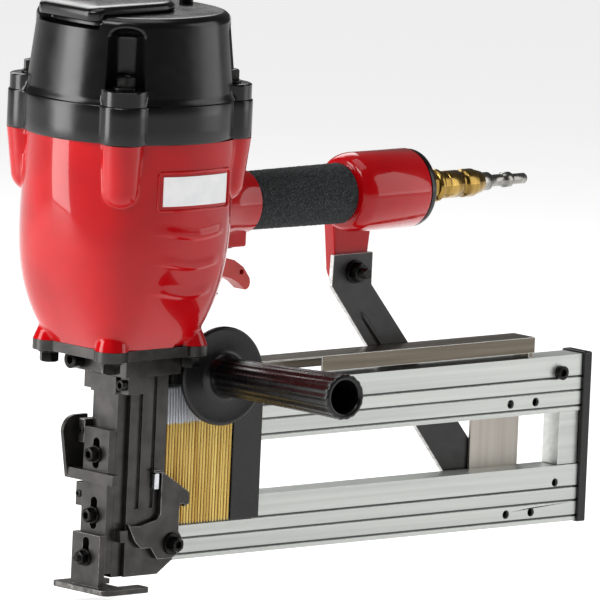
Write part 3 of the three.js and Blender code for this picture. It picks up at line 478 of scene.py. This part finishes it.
# ---- safety contact --------------------------------------------------------------------------
# A slotted steel slide with a welded cross bar and guard. Two socket screws with washers hold it,
# and the foot is screwed to its lower end with a bolt and nut through its own slot.
eased("contact_plate", "contact_slide", "contact", "black_steel", [black_oxide, worn_and_highlit_edge], 0.6)
eased("foot_plate", "contact_foot", "foot", "black_steel", [black_oxide, worn_and_highlit_edge], 0.8, 3)
for i in (1, 2):
    low, high = box_mm(f"slide_bolt_{i}")
    middle = (low + high) / 2
    piece(f"slide_screw_{i}", gathered(
        stand(washer(6.6, 1.6), [low[0] + 7.7, *middle[1:]], (-1, 0, 0)),
        stand(head(9.5, 6.2, 6, 5), [low[0] + 6.2, *middle[1:]], (-1, 0, 0))),
        "tool", "bolt_steel", [bolt_steel], [f"slide_bolt_{i}"])
low, high = box_mm("foot_bolt")
middle = (low + high) / 2
piece("foot_screw", gathered(
    stand(washer(6.6, 1.6), [low[0] + 9.7, *middle[1:]], (-1, 0, 0)),
    stand(head(9.5, 5.2), [low[0] + 8.2, *middle[1:]], (-1, 0, 0)),
    stand(thread(3, 8.0), [low[0] + 8.0, *middle[1:]], (-1, 0, 0))),
    "contact", "bolt_steel", [bolt_steel], ["foot_bolt"])

# The foot's front edge is serrated to grip the floor: a comb of points every 1.8 mm.
foot_low, foot_high = box_mm("contact_foot")
half_pitch, proud = 0.9, 0.35
teeth = np.arange(foot_low[1] + 5, foot_high[1] - 5, half_pitch)
comb = np.stack([foot_low[0] - proud * (np.arange(len(teeth)) % 2), teeth], -1)
comb = np.concatenate([comb, [[foot_low[0] + 0.5, teeth[-1]], [foot_low[0] + 0.5, teeth[0]]]])
# The comb takes the worn edge finish, which is partly a painted highlight.
piece("foot_teeth", extruded("z", comb, (0.7, 3.8)), "foot", "black_steel", [worn_and_highlit_edge])

# ---- latch -----------------------------------------------------------------------------------
# A pressed steel plate that swings on a socket-head bolt and hooks over a keeper, to clear a jam.
latch_low, latch_high = box_mm("latch_lever")
low, high = box_mm("latch_bolt")
middle = (low + high) / 2
steps_from_pivot = [
    (-45, 18), (-41, 16.2), (-33, 15.6), (-25, 17.4), (-15.5, 19.6), (-12.6, 23), (-12.6, 54.5),
    (-20.5, 55.5), (-20.5, 57.6), (-14, 57), (15.4, 38.6), (16, 35), (16, 29.6), (11.6, 27.2),
    (10.4, 30), (7.2, 29.6), (6.4, 25), (6.6, 9), (10.2, 4), (10.4, -3.6), (7.4, -8), (1, -11),
    (-14, -11), (-21, -2), (-31, -1.6), (-37, 4), (-41, 11)]
latch_outline = np.array(steps_from_pivot) + middle[[0, 2]]
piece("latch_plate", extruded("y", latch_outline, (latch_low[1], latch_high[1])), "latch",
      "black_steel", [black_oxide, worn_and_highlit_edge], ["latch_lever"], 0.5)

# The catch is bare steel, ground smooth: bright and sharp in its reflections.
ground_steel = surface("ground_steel", "#b9bcc0", "#dfe1e4", 4, (0.2, 0.3), 0.6, 0.02, Metallic=1.0)
catch = rounded_rectangle((middle[0] - 19.5, middle[2] + 42.5), (middle[0] - 15, middle[2] + 54.5), 0.8)
piece("latch_catch", extruded("y", catch, (-21.6, -15)), "tool", "bright_steel", [ground_steel],
      rounded=0.4)
piece("latch_screw", gathered(
    stand(washer(8.5, 1.9), [middle[0], low[1] + 7.7, middle[2]], (0, -1, 0)),
    stand(head(10, 5.9, 6, 5.2), [middle[0], low[1] + 5.9, middle[2]], (0, -1, 0))),
    "tool", "bolt_steel", [bolt_steel], ["latch_bolt"])

# ---- head ring and cap -----------------------------------------------------------------------
# Two cast pieces in satin black paint. The ring has a lobe at each head bolt. The cap stands on
# bosses over the lobes, with a deep half-round channel above each boss for the bolt.

# Satin black stove enamel: a soft gloss over a very fine texture.
satin_black = surface("satin_black", "#060505", "#0c0b0b", 40, (0.19, 0.25), 1.1, 0.012,
                      Specular_IOR_Level=0.4)
ring_low, ring_high = box_mm("head_ring")
cap_low, cap_high = box_mm("cylinder_cap")
BOSS_TOP = 388.0
around = np.linspace(-np.pi, np.pi, 360, endpoint=False)[None, :]
diagonals = np.radians([-135, -45, 45, 135])


def polar_form(reach, z, ring):
    """A shape round the bore's axis from its reach at each angle and height."""
    angle = around + 0 * reach
    return skin(np.stack([reach * np.cos(angle) + BORE_X, reach * np.sin(angle), z + 0 * angle], -1), ring)


def ring_form():
    """The ring's wall with its lobes, its outer edges broken, and its bore."""
    tall, chamfer, bore_radius = 28.7, 0.7, 62.0
    depth = np.array([0, 0.5, 1.2, 10, 20, 27.5, 28.2, tall])[:, None]
    reach = rounded_plan(around, 79, 79, 79, 2.15, 2.15)
    for toward in diagonals:
        reach = swell(reach, column_reach(around, toward, HEAD_BOLT, LOBE), 1.6)
    outer = reach - chamfer * np.clip(1 - np.minimum(depth, tall - depth) / chamfer, 0, 1)
    bore = np.full((2, around.shape[1]), bore_radius)
    z = np.concatenate([ring_low[2] + depth, [[ring_high[2]], [ring_low[2]]]])
    return polar_form(np.concatenate([outer, bore]), z, True)


def cap_form():
    """The cap's wall: bosses below, channels above them that end under a rounded roof, and a slot
    for the exhaust under the deflector's lip. The top edge is a quarter round."""
    base, top, round_edge = cap_low[2], cap_high[2], 7
    z = np.concatenate([
        np.linspace(base, BOSS_TOP - 0.9, 14), [BOSS_TOP - 0.25, BOSS_TOP, BOSS_TOP, BOSS_TOP + 0.6],
        np.linspace(BOSS_TOP + 2, top - round_edge, 48),
        top - round_edge + round_edge * np.sin(np.linspace(0.05, 1, 14) * np.pi / 2)])[:, None]
    boss_share = np.concatenate([np.ones(14), [0.97, 0.93, 0.06, 0.0], np.zeros(62)])[:, None]
    share = (z - base) / (top - base)
    edge = np.clip((z - top + round_edge) / round_edge, 0, 1)
    half = 76 - 7 * share - 6 * (1 - np.sqrt(1 - edge ** 2)) + 1.2 * ease(1 - (z - base) / 5)
    shell = rounded_plan(around, half, half, half, 2.35, 2.35)
    bossed, channelled = shell, shell
    boss, channel = 17.4, 12.8
    roof = 13 * ease((z - top + 16) / 11)
    for toward in diagonals:
        bossed = swell(bossed, column_reach(around, toward, HEAD_BOLT, boss), 1.5)
        turn = (around - toward + np.pi) % (2 * np.pi) - np.pi
        depth = channel ** 2 - (HEAD_BOLT * np.sin(turn)) ** 2
        met = (depth > 0) & (np.abs(turn) < 0.6)
        wall = np.where(met, HEAD_BOLT * np.cos(turn) - np.sqrt(np.maximum(depth, 0)), 200.0)
        channelled = -swell(-channelled, -(wall + roof), 3.0)
    reach = channelled + (bossed - channelled) * boss_share
    slot = ease((34 - np.abs(reach * np.sin(around))) / 1.5) * (np.cos(around) < 0) \
        * ease((z - top + 9.5) / 0.9) * ease((top - 2.2 - z) / 0.9)
    reach = reach - 9 * slot
    roof_z = np.full((4, 1), top)
    roof_reach = reach[-1:] * np.array([0.97, 0.8, 0.4, 0.05])[:, None]
    return polar_form(np.concatenate([reach, roof_reach]), np.concatenate([z, roof_z]), False)


piece("head_ring_casting", ring_form(), "tool", "black_paint", [satin_black], ["head_ring"])
piece("cap_casting", cap_form(), "tool", "black_paint", [satin_black], ["cylinder_cap"], sharp=45)


def hood_form():
    """A tongue-shaped plate: rows are its outline drawn in by an inset as the height rises, so that
    the edge is a quarter round; the front edge droops over the exhaust slot."""
    low, high = box_mm("exhaust_deflector")
    front_corner, rear_corner = 11, 26
    corners = ((high[0], high[1], rear_corner), (low[0], high[1], front_corner),
               (low[0], low[1], front_corner), (high[0], low[1], rear_corner))
    rows = []
    for inset, lift in ((6, 4.2), (1.5, 4.2), (0.3, 5), (0, 6.4), (0.3, 8.2), (1.4, 9.7), (3.2, 10.6),
                        (6, 11), (12, 11), (24, 11)):
        arcs = []
        for i, (x, y, radius) in enumerate(corners):
            outwards = np.array([1 if i in (0, 3) else -1, 1 if i < 2 else -1])
            turn = np.linspace(i * np.pi / 2, (i + 1) * np.pi / 2, 10)
            middle = np.array([x, y]) - radius * outwards
            arcs.append(middle + max(radius - inset, 0.5) * np.stack([np.cos(turn), np.sin(turn)], -1)
                        - max(inset - radius + 0.5, 0) * outwards)
        outline = np.concatenate(arcs)
        front = ease((low[0] + 13 - outline[:, 0]) / 9)
        droop = np.where(lift < 5.5, 4.1 * front, 1.0 * front * (inset > 0))
        rows.append(np.hstack([outline, (low[2] + lift - droop)[:, None]]))
    return skin(np.stack(rows))


piece("exhaust_hood", hood_form(), "tool", "black_paint", [satin_black], ["exhaust_deflector"], sharp=60)
low, high = box_mm("deflector_screw")
middle = (low + high) / 2
piece("hood_screw", stand(head(10.6, 4.9, 0, 4), [middle[0], middle[1], high[2] - 4.9], (0, 0, 1)), "tool",
      "bolt_steel", [bolt_steel], ["deflector_screw"])
for i in range(4):
    low, high = box_mm(f"cap_bolt_{i + 1}")
    at = ((low + high) / 2)[:2]
    piece(f"head_bolt_{i + 1}", gathered(
        stand(washer(9.2, 1.8), [*at, BOSS_TOP + 0.1], (0, 0, 1)),
        stand(head(13.5, 8.2, 6, 7), [*at, BOSS_TOP + 1.8], (0, 0, 1))),
        "tool", "bolt_steel", [bolt_steel], [f"cap_bolt_{i + 1}"])

# ---- rear handle -----------------------------------------------------------------------------
# A red enamelled casting: the air chamber behind the grip, with a flat lug for the strap under it.
BULGE_END = box_mm("rear_handle")[1][0]
arc = np.linspace(0, np.pi / 2, 14)
shoulder = [[24 + 6.5 * math.sin(t), grip_high[0] + 0.3 + 13 - 13 * math.cos(t)] for t in arc]
chamber = turned("x", [[13, grip_high[0] - 6], [23.6, grip_high[0] + 0.3], *shoulder,
                       [30.5, BULGE_END - 2.5], [29.8, BULGE_END - 0.8], [28.4, BULGE_END],
                       [11, BULGE_END], [11, BULGE_END - 8], [13, BULGE_END - 14]], (0, HANDLE_Z), 128)
bolt_low, bolt_high = box_mm("strap_bolt")
STRAP_AT = ((bolt_low + bolt_high) / 2)[[0, 2]]
LUG_ROUND, LUG_ROOT = 16, 21
around_bolt = [STRAP_AT + [LUG_ROUND * math.cos(t), 4 + LUG_ROUND * math.sin(t)]
               for t in np.linspace(np.pi, 2 * np.pi, 24)]
lug = extruded("y", [[STRAP_AT[0] - LUG_ROOT, HANDLE_Z - 14], *around_bolt,
                     [STRAP_AT[0] + LUG_ROOT, HANDLE_Z - 14]], (17.5, 30))
piece("air_chamber", chamber, "tool", "red_paint", [red_enamel], ["rear_handle"], sharp=50)
piece("strap_lug", lug, "tool", "red_paint", [red_enamel], rounded=2.2, steps=4)

# ---- grip ------------------------------------------------------------------------------------
# A sleeve of rough black rubber with embedded grit, shrunk on the handle's tube.


def grip_form():
    """A thick sleeve whose surface rises and falls at random by a third of a millimetre."""
    rows, columns = 120, 168
    x = np.linspace(grip_low[0], grip_high[0], rows)
    edge = np.minimum(x - x[0], x[-1] - x)
    reach = 22.1 + 0.9 * (x - x[0]) / (x[-1] - x[0]) - 1.4 * (1 - ease(edge / 2.2))
    crumbs = np.random.default_rng(7).normal(0, 0.17, (rows, columns))
    crumbs = np.clip(crumbs, -0.3, 0.3) * ease(edge / 3)[:, None]
    angle = np.linspace(0, 2 * np.pi, columns, endpoint=False)[None, :]
    outer = reach[:, None] + crumbs
    reach = np.concatenate([outer, np.full((2, columns), 19.7)])
    along = np.concatenate([x, [x[-1], x[0]]])[:, None] + 0 * angle
    return skin(np.stack([along, reach * np.cos(angle), HANDLE_Z + reach * np.sin(angle)], -1), ring=True)


# Cured rubber full of mineral grit: dull black-grey, with lighter grains that catch the light.
grit_rubber = surface("grit_rubber", "#141617", "#2b2f30", 2.2, (0.7, 0.95), 0.8, 0.5,
                      Specular_IOR_Level=0.35)
tree = grit_rubber.node_tree
speck = put(tree, "TexVoronoi", {"feature": "F1"}, {
    "Vector": tree.nodes["Texture Coordinate"].outputs["Object"], "Scale": 1 / (1.5 * MM)})
mask = put(tree, "MapRange", {}, {"Value": speck.outputs["Distance"], "From Min": 0.16, "From Max": 0.3,
                                  "To Min": 1.0, "To Max": 0.0})
shader = tree.nodes["Principled BSDF"]
grit = put(tree, "Mix", {"data_type": "RGBA"}, {0: mask.outputs[0], 6: shader.inputs["Base Color"].links[
    0].from_socket, 7: linear("#555b5c")})
tree.links.new(grit.outputs[2], shader.inputs["Base Color"])
piece("rubber_grip", grip_form(), "tool", "black_rubber", [grit_rubber], ["handle_grip"], sharp=70)

# ---- air inlet -------------------------------------------------------------------------------
# A black plastic tail cap, a brass hexagon and swivel, and a hardened steel plug for the air hose.
# Glass-filled black nylon, moulded: black with an even, low sheen.
black_nylon = surface("black_nylon", "#080707", "#121010", 25, (0.24, 0.32), 1.5, 0.012,
                      Specular_IOR_Level=0.4)
# Bar brass, turned: a darkened yellow, with fine rings from the tool round its axis.
machined_brass = surface("machined_brass", "#7d6330", "#b3934f", 5, (0.14, 0.28), 0.5, 0.02, (1, 0.1, 0.1),
                         Metallic=1.0)
# Hardened steel, turned and plated: a cool, crisp grey with the same fine rings.
hardened_steel = surface("hardened_steel", "#77756f", "#a8a6a1", 5, (0.16, 0.3), 0.6, 0.02, (1, 0.1, 0.1),
                         Metallic=1.0)
low, high = box_mm("tail_cap")
piece("tail_disc", turned("x", [[9, low[0]], [29.6, low[0]], [29.6, low[0] + 3], [29.0, low[0] + 4.4],
                                [27.4, high[0] - 0.3], [26, high[0]], [9, high[0]]], (0, HANDLE_Z), 128),
      "tool", "black_plastic", [black_nylon], ["tail_cap"])
low, high = box_mm("air_inlet_hex")
hex_start = box_mm("tail_cap")[1][0] + 0.4
piece("inlet_nut", gathered(
    stand(head(21, 18), [hex_start, 0, HANDLE_Z], (1, 0, 0)),
    turned("x", [[4, hex_start + 17], [10.2, hex_start + 18], [11.9, hex_start + 19],
                 [12.5, hex_start + 20.2], [12.5, high[0] - 1], [11.8, high[0]], [4, high[0]]],
           (0, HANDLE_Z), 72)),
    "tool", "brass", [machined_brass], ["air_inlet_hex"])
low, high = box_mm("swivel_body")
swivel = [[4, low[0]], [9.9, low[0]], [10.5, low[0] + 0.7], [10.5, low[0] + 5], [10.1, low[0] + 5.4],
          [10.1, low[0] + 6.2], [10.5, low[0] + 6.6], [10.5, low[0] + 19], [9.5, low[0] + 20.4],
          [9.5, low[0] + 23.4], [10.2, low[0] + 24.6], [10.8, low[0] + 25.2], [10.8, low[0] + 34.5],
          [10.1, low[0] + 36.4], [8.4, high[0] - 0.6], [8, high[0]], [4, high[0]]]
piece("swivel_barrel", turned("x", swivel, (0, HANDLE_Z), 72), "air_swivel", "brass", [machined_brass],
      ["swivel_body"])
low, high = box_mm("air_plug")
start = low[0]
plug = [[2.6, start], [6.6, start], [7, start + 0.5], [7, start + 8], [6.4, start + 8.8], [4.6, start + 12],
        [4.6, start + 21.6], [5.1, start + 23], [5.9, start + 24.2], [5.9, start + 30.4], [5.3, start + 31.6],
        [4.1, start + 33], [4.1, high[0] - 1], [3.5, high[0]], [2.6, high[0]]]
piece("hose_plug", turned("x", plug, (0, HANDLE_Z), 60), "air_swivel", "bright_steel", [hardened_steel],
      ["air_plug"])

# ---- trigger ---------------------------------------------------------------------------------
# A curved lever moulded in red plastic, on a steel pin through the two ears.
# Coloured nylon, moulded: an orange-red that is flatter than the enamel beside it.
trigger_red = surface("trigger_red", "#a81408", "#cc2c1c", 20, (0.3, 0.42), 1.4, 0.02)
eased("trigger_blade", "trigger", "trigger_lever", "trigger_red", [trigger_red], 1.8, 4)


def refinish(node, finish):
    """Gives a CAD node that stays as it is one of the scene's finishes."""
    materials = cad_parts[node].data.materials
    materials.clear()
    materials.append(finish)


for node, finish in (("trigger_pin", bolt_steel), ("trigger_valve_body", bolt_steel),
                     ("valve_stem", hardened_steel), ("cylinder_sleeve", hardened_steel),
                     ("driver_blade", hardened_steel), ("head_valve", black_nylon),
                     ("bumper", grit_rubber)):
    refinish(node, finish)

# ---- springs ---------------------------------------------------------------------------------
# Wound from bright spring wire: under the trigger's stem, over the head valve, and on the contact.
# Each sits in its fixed seat at its top end. Its joint and a stroke a little over the joint's own are
# listed with it, but nothing here shortens the coil.
for node, joint, wire, turns, stroke in (("valve_spring", "stem_push", 0.55, 5, 4.1),
                                         ("head_valve_spring", "head_valve_lift", 1.6, 6, 4.4),
                                         ("contact_spring", "contact_press", 0.35, 12, 5.9)):
    low, high = box_mm(node)
    middle, length = (low + high) / 2, high[2] - low[2]
    turn = np.linspace(0, 2 * np.pi * turns, turns * 28)
    reach = (high[0] - low[0]) / 2 - wire
    coil = np.stack([middle[0] + reach * np.cos(turn), middle[1] + reach * np.sin(turn),
                     np.linspace(low[2] + wire, high[2] - wire, len(turn))], -1)
    spring = piece(f"{node}_coil", tube(coil, wire, 8, ring=False), "tool", "bright_steel",
                   [hardened_steel], [node])
    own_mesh(spring)

# ---- magazine rails --------------------------------------------------------------------------
# Two hollow aluminium extrusions with three drawn grooves on each side, satin anodised. Fine die
# lines run along them, and their cut edges are brighter.
# Extruded aluminium, satin anodised: a soft pale grey, drawn out in long die lines.
anodised = surface("anodised_aluminium", "#bbbeba", "#cacdc8", 5, (0.36, 0.44), 0.7, 0.03,
                   (0.012, 1, 1), Metallic=0.75)
# The bottoms of the drawn grooves, where little light reaches: a dull dark grey.
groove_shade = surface("groove_shade", "#4b4d4b", "#636562", 5, (0.5, 0.6), 0.7, 0.03, (0.012, 1, 1),
                       Metallic=0.5)
# The same metal sawn and deburred after anodising: bare and brighter.
cut_aluminium = surface("cut_aluminium", "#c9ccc8", "#e2e4e0", 6, (0.25, 0.35), 0.5, 0.02, Metallic=0.9)
refinish("piston", cut_aluminium)
for name, node in (("rail_top", "upper_rail"), ("rail_bottom", "lower_rail")):
    low, high = box_mm(node)
    eased(name, node, "tool", "aluminium", [anodised, groove_shade, cut_aluminium], 0.3,
          pick=lambda n, c: (np.abs(c[:, 1]) > 7.5) & (np.abs(c[:, 1]) < 10.3) & (np.abs(n[:, 0]) < 0.5)
          & (c[:, 2] > low[2] + 2) & (c[:, 2] < high[2] - 2))
eased("rail_end_spacer", "rail_spacer", "tool", "aluminium", [anodised, cut_aluminium], 0.4)
eased("end_plate", "rear_end_plate", "tool", "black_paint", [satin_black], 0.6)
low, high = box_mm("rail_screw")
middle = (low + high) / 2
piece("rail_cap_screw", stand(head(10.8, 4.4, 0, 5), [middle[0], low[1] + 4.4, middle[2]], (0, -1, 0)),
      "tool", "bolt_steel", [bolt_steel], ["rail_screw"])

# ---- connecting plate and strap --------------------------------------------------------------
# A brushed steel plate joins the two rails. A dog-leg strap of thick steel, black on its faces and
# bare where it was sheared, hangs it from the handle's lug; a long bead pressed in it stiffens it.
# Sheet steel, brushed: a warm grey with a fine grain that runs up and down.
brushed_steel = surface("brushed_steel", "#a39d95", "#b3ada5", 6, (0.34, 0.42), 0.6, 0.03,
                        (1, 1, 0.02), Metallic=0.85)
# Black paint on rolled steel bar: nearly flat, with a faint brown cast.
strap_black = surface("strap_black", "#0e0a0a", "#191413", 18, (0.34, 0.46), 1.2, 0.03,
                      Specular_IOR_Level=0.5)
# The bar's sheared sides, where no paint holds: bright, torn across the thickness.
sheared_steel = surface("sheared_steel", "#a8a7a5", "#d3d2d0", 4, (0.3, 0.45), 0.6, 0.05, (1, 0.2, 1),
                        Metallic=0.9)
eased("joining_plate", "connecting_plate", "tool", "bright_steel", [brushed_steel], 0.4)
strap_low = box_mm("strap")[0]


def bead_form():
    """A long low bead with tapered ends, pressed out of the strap's near face."""
    share = np.linspace(0, 1, 60)
    start, end = np.array([STRAP_AT[0] + 7, 193.0]), np.array([STRAP_AT[0] + 76, 108.0])
    line = start + (end - start) * share[:, None]
    path = np.stack([line[:, 0], np.full(60, strap_low[1] + 0.9), line[:, 1]], -1)
    start_taper = np.sin(np.pi * np.clip(share * 6, 0, 0.5))
    end_taper = np.sin(np.pi * np.clip((1 - share) * 6, 0, 0.5))
    return tube(path, 0.3 + 2.3 * start_taper * end_taper, 16, ring=False)


eased("hanger_strap", "strap", "tool", "black_paint", [strap_black, sheared_steel], 0.35,
      pick=lambda n, c: np.abs(n[:, 1]) < 0.5)
piece("strap_bead", bead_form(), "tool", "black_paint", [strap_black])
low, high = box_mm("strap_bolt")
piece("strap_screw", gathered(
    stand(washer(9, 2.0), [STRAP_AT[0], strap_low[1] - 0.1, STRAP_AT[1]], (0, -1, 0)),
    stand(head(13, 6.6), [STRAP_AT[0], strap_low[1] - 2.1, STRAP_AT[1]], (0, -1, 0)),
    stand(thread(4, strap_low[1] - 8.0 - low[1]), [STRAP_AT[0], strap_low[1] - 8.0, STRAP_AT[1]],
          (0, -1, 0)),
    stand(head(13, 5.7), [STRAP_AT[0], high[1] - 6.7, STRAP_AT[1]], (0, 1, 0)),
    turned("y", [[0.4, strap_low[1] - 8], [3.9, strap_low[1] - 8], [3.9, high[1]], [0.4, high[1]]],
           STRAP_AT, 24, ring=False)),
    "tool", "bolt_steel", [bolt_steel], ["strap_bolt"])
low, high = box_mm("strap_foot_bolt")
middle = (low + high) / 2
piece("strap_foot_screw", stand(head(10, 4.4), [middle[0], high[1] - 4.5, middle[2]], (0, 1, 0)), "tool",
      "bolt_steel", [bolt_steel], ["strap_foot_bolt"])

# ---- cover channel and pusher ----------------------------------------------------------------
# A folded steel channel covers the upper rail, yellowish from its passivation. The black pusher
# runs on both rails and presses the strip forward with a constant-force spring.
# Folded sheet steel, yellow passivated and handled: a dull brownish grey sheen along its length.
passivated = surface("passivated_steel", "#5b5449", "#746c60", 6, (0.26, 0.34), 0.8, 0.03, (0.03, 1, 1),
                     Metallic=0.85)
eased("rail_cover", "cover_channel", "tool", "channel_steel", [passivated, cut_aluminium], 0.3)
eased("strip_pusher", "pusher", "pusher_carriage", "black_plastic", [black_nylon], 0.8, 3)
refinish("pusher_spring", hardened_steel)

# ---- staples ---------------------------------------------------------------------------------
# A strip of long wire staples held side by side by glue: each leg is a flat wire with a chisel
# point. The top quarter is bare galvanised wire and the rest has golden resin on it.
strip_low, strip_high = box_mm("staple_strip")


def staple_strip_form():
    """One staple's line goes up a leg, round a bend, across the crown and down; a rounded flat
    section follows it, and the whole is repeated along the strip."""
    wire, bend, pitch = 1.5, 1.6, 2.9
    half = (strip_high[1] - strip_low[1]) / 2 - wire / 2
    top, bottom = strip_high[2] - wire / 2, strip_low[2]
    turn = np.linspace(0, np.pi / 2, 4)
    left = [(-half + bend - bend * math.cos(t), top - bend + bend * math.sin(t)) for t in turn]
    line = np.array([(-half, bottom), (-half, bottom + 2.5), *left])
    line = np.concatenate([line, line[::-1] * [-1, 1]])
    ahead = np.gradient(line, axis=0)
    ahead /= np.linalg.norm(ahead, axis=1)[:, None]
    out = np.stack([-ahead[:, 1], ahead[:, 0]], -1)
    section = np.array([[1.1, 0.35], [0.7, 0.75], [-0.7, 0.75], [-1.1, 0.35], [-1.1, -0.35], [-0.7, -0.75],
                        [0.7, -0.75], [1.1, -0.35]])
    point = np.ones(len(line))
    point[[0, -1]] = 0.35
    forms = []
    for i in range(int((strip_high[0] - strip_low[0]) / pitch)):
        x = strip_low[0] + pitch * (i + 0.5) + section[None, :, 0] * point[:, None]
        flat = line[:, None] + out[:, None] * section[None, :, 1:]
        forms.append(skin(np.concatenate([x[..., None], flat], -1)))
    return gathered(*forms)


# Drawn wire under a clear golden resin, with bare zinc above it: the change is ragged, where the
# strip was dipped.
resin_wire = surface("resin_coated_wire", "#ab8030", "#ead07a", 2.4, (0.24, 0.38), 0.6, 0.03,
                     (1, 1, 0.02), Metallic=0.7)
tree = resin_wire.node_tree
shader = tree.nodes["Principled BSDF"]
height = put(tree, "SeparateXYZ", {}, {0: tree.nodes["Texture Coordinate"].outputs["Object"]}).outputs[2]
ragged = put(tree, "Math", {"operation": "ADD"}, {
    0: height, 1: mottle(tree, tree.nodes["Texture Coordinate"].outputs["Object"], 3, -0.0008, 0.0008)})
DIP_LINE = 0.123
bare = put(tree, "MapRange", {}, {"Value": ragged.outputs[0], "From Min": DIP_LINE,
                                  "From Max": DIP_LINE + 0.0015, "To Min": 0.0, "To Max": 1.0})
two_tone = put(tree, "Mix", {"data_type": "RGBA"}, {
    0: bare.outputs[0], 6: shader.inputs["Base Color"].links[0].from_socket, 7: linear("#c9ccd2")})
tree.links.new(two_tone.outputs[2], shader.inputs["Base Color"])
piece("wire_staples", staple_strip_form(), "tool", "staple_wire", [resin_wire], ["staple_strip"],
      sharp=60)

# ---- side handle -----------------------------------------------------------------------------
# A fluted, hollow black nylon handle that flares to its open end, moulded in one with a hand-guard
# disc. It screws on the stud of a steel bracket over the upper rail.
eased("handle_bracket", "aux_bracket", "tool", "black_steel", [black_oxide, worn_and_highlit_edge], 0.6)


def side_handle_form():
    """A profile of (radius, distance along the axis, share of fluting) turned round the axis, where
    the fluting is eighteen shallow waves; then laid along the handle's own direction."""
    fillet = [[15.4 + 5.5 * (1 - math.sin(t)), 5.2 + 5.5 * (1 - math.cos(t)), 0]
              for t in np.linspace(0, np.pi / 2, 8)]
    tube_part = [[14.4 + 2.7 * (d / 160) ** 2, d, min(1, (d - 11) / 4)] for d in np.linspace(12, 158, 50)]
    profile = np.array([[6.6, 0, 0], [35.6, 0, 0], [36.8, 0.5, 0], [37.5, 1.5, 0], [37.5, 3.2, 0],
                        [36.9, 4.2, 0], [35.8, 4.8, 0], [34.6, 4.6, 0], *fillet, *tube_part,
                        [16.6, 159.5, 0.6], [15.6, 160, 0], [13.8, 160, 0], [12.7, 159, 0], [12.2, 157, 0],
                        [12.2, 20, 0], [11, 14, 0], [6.6, 12, 0]])
    angle = np.linspace(0, 2 * np.pi, 216, endpoint=False)[None, :]
    reach = profile[:, :1] * (1 + 0.021 * profile[:, 2:] * np.cos(18 * angle))
    lean, swing = math.radians(2.5), math.radians(6)
    ahead = np.array([-math.sin(swing) * math.cos(lean), -math.cos(swing) * math.cos(lean), math.sin(lean)])
    aside = np.array([math.cos(swing), -math.sin(swing), 0])
    upward = np.cross(aside, ahead)
    foot = np.array([BORE_X + 81, -24, 159.5])
    grid = foot + profile[:, 1:2, None] * ahead + (reach * np.cos(angle))[..., None] * aside \
        + (reach * np.sin(angle))[..., None] * upward
    return skin(grid, ring=True)


piece("side_handle", side_handle_form(), "tool", "black_plastic", [black_nylon], ["aux_handle"], sharp=50)

# ---- floor, light and camera -----------------------------------------------------------------
# A plain pale floor just below the foot's lowest setting, large soft boxes to the left, right and
# above, and a long lens.
# Matt white paint on a board, lit from within a little so that it stays an even pale grey.
floor_paint = surface("floor_paint", "#c9c9c9", "#cecece", 900, (0.75, 0.85), 300, 0.01,
                      Emission_Color=linear("#ffffff"), Emission_Strength=0.76)
floor_mesh = bpy.data.meshes.new("floor")
FLOOR_LEVEL = -0.0105
FLOOR_HALF = 30
floor_mesh.from_pydata([(x * FLOOR_HALF, y * FLOOR_HALF, FLOOR_LEVEL)
                        for x, y in ((-1, -1), (1, -1), (1, 1), (-1, 1))], [], [(0, 1, 2, 3)])
floor_mesh.materials.append(floor_paint)
floor = bpy.data.objects.new("floor", floor_mesh)
bpy.context.scene.collection.objects.link(floor)

centre = np.array([0.196, 0.0, 0.22])
azimuth, rise, roll = math.radians(42.36), math.radians(8.24), math.radians(2.5)
right = np.array([math.cos(azimuth), -math.sin(azimuth), 0])
back = np.array([-math.sin(azimuth) * math.cos(rise), -math.cos(azimuth) * math.cos(rise), math.sin(rise)])
upright = np.cross(back, right)


def aimed(thing, place, target, up):
    """Puts a light or the camera at place, facing target, with up towards its top."""
    z = (place - target) / np.linalg.norm(place - target)
    x = np.cross(up, z)
    x /= np.linalg.norm(x)
    made = bpy.data.objects.new(thing.name, thing)
    matrix = np.eye(4)
    matrix[:3, 0], matrix[:3, 1], matrix[:3, 2], matrix[:3, 3] = x, np.cross(z, x), z, place
    made.matrix_world = mathutils.Matrix(matrix.tolist())
    bpy.context.scene.collection.objects.link(made)
    return made


for name, place, width, depth, power in (
        ("soft_box_left", centre - right * 1.45 + back * 0.35 + [0, 0, 0.4], 0.6, 1.4, 20),
        ("soft_box_right", centre + right * 1.5 - back * 0.1 + [0, 0, 0.5], 0.8, 1.2, 6),
        ("soft_box_front", centre + back * 1.2 - right * 0.9 + [0, 0, 1.65], 1.1, 0.7, 20),
        ("soft_box_rear", centre - back * 1.5 - right * 0.5 + [0, 0, 1.3], 1.3, 0.8, 11),
        ("soft_box_top", centre + [0, 0, 1.8], 1.2, 1.2, 8)):
    lamp = bpy.data.lights.new(name, "AREA")
    lamp.shape, lamp.size, lamp.size_y, lamp.energy = "RECTANGLE", width, depth, power
    aimed(lamp, np.array(place), centre, [0, 0, 1] if name != "soft_box_top" else [0, 1, 0])

world = bpy.data.worlds.new("studio")
world.use_nodes = True
world.node_tree.nodes["Background"].inputs["Color"].default_value = linear("#ffffff")
world.node_tree.nodes["Background"].inputs["Strength"].default_value = 0.1
bpy.context.scene.world = world
bpy.context.scene.view_settings.view_transform = "Standard"

# A very long lens: the view is view_width metres across at the tool, from distance metres away.
camera_data = bpy.data.cameras.new("camera")
distance, view_width, sensor = 13.7, 0.4542, 36
camera_data.lens, camera_data.sensor_width = sensor * distance / view_width, sensor
camera_data.clip_end = 100
tilted_up = upright * math.cos(roll) - right * math.sin(roll)
target = centre - tilted_up * 0.0125
bpy.context.scene.camera = aimed(camera_data, target + back * distance, target, tilted_up)
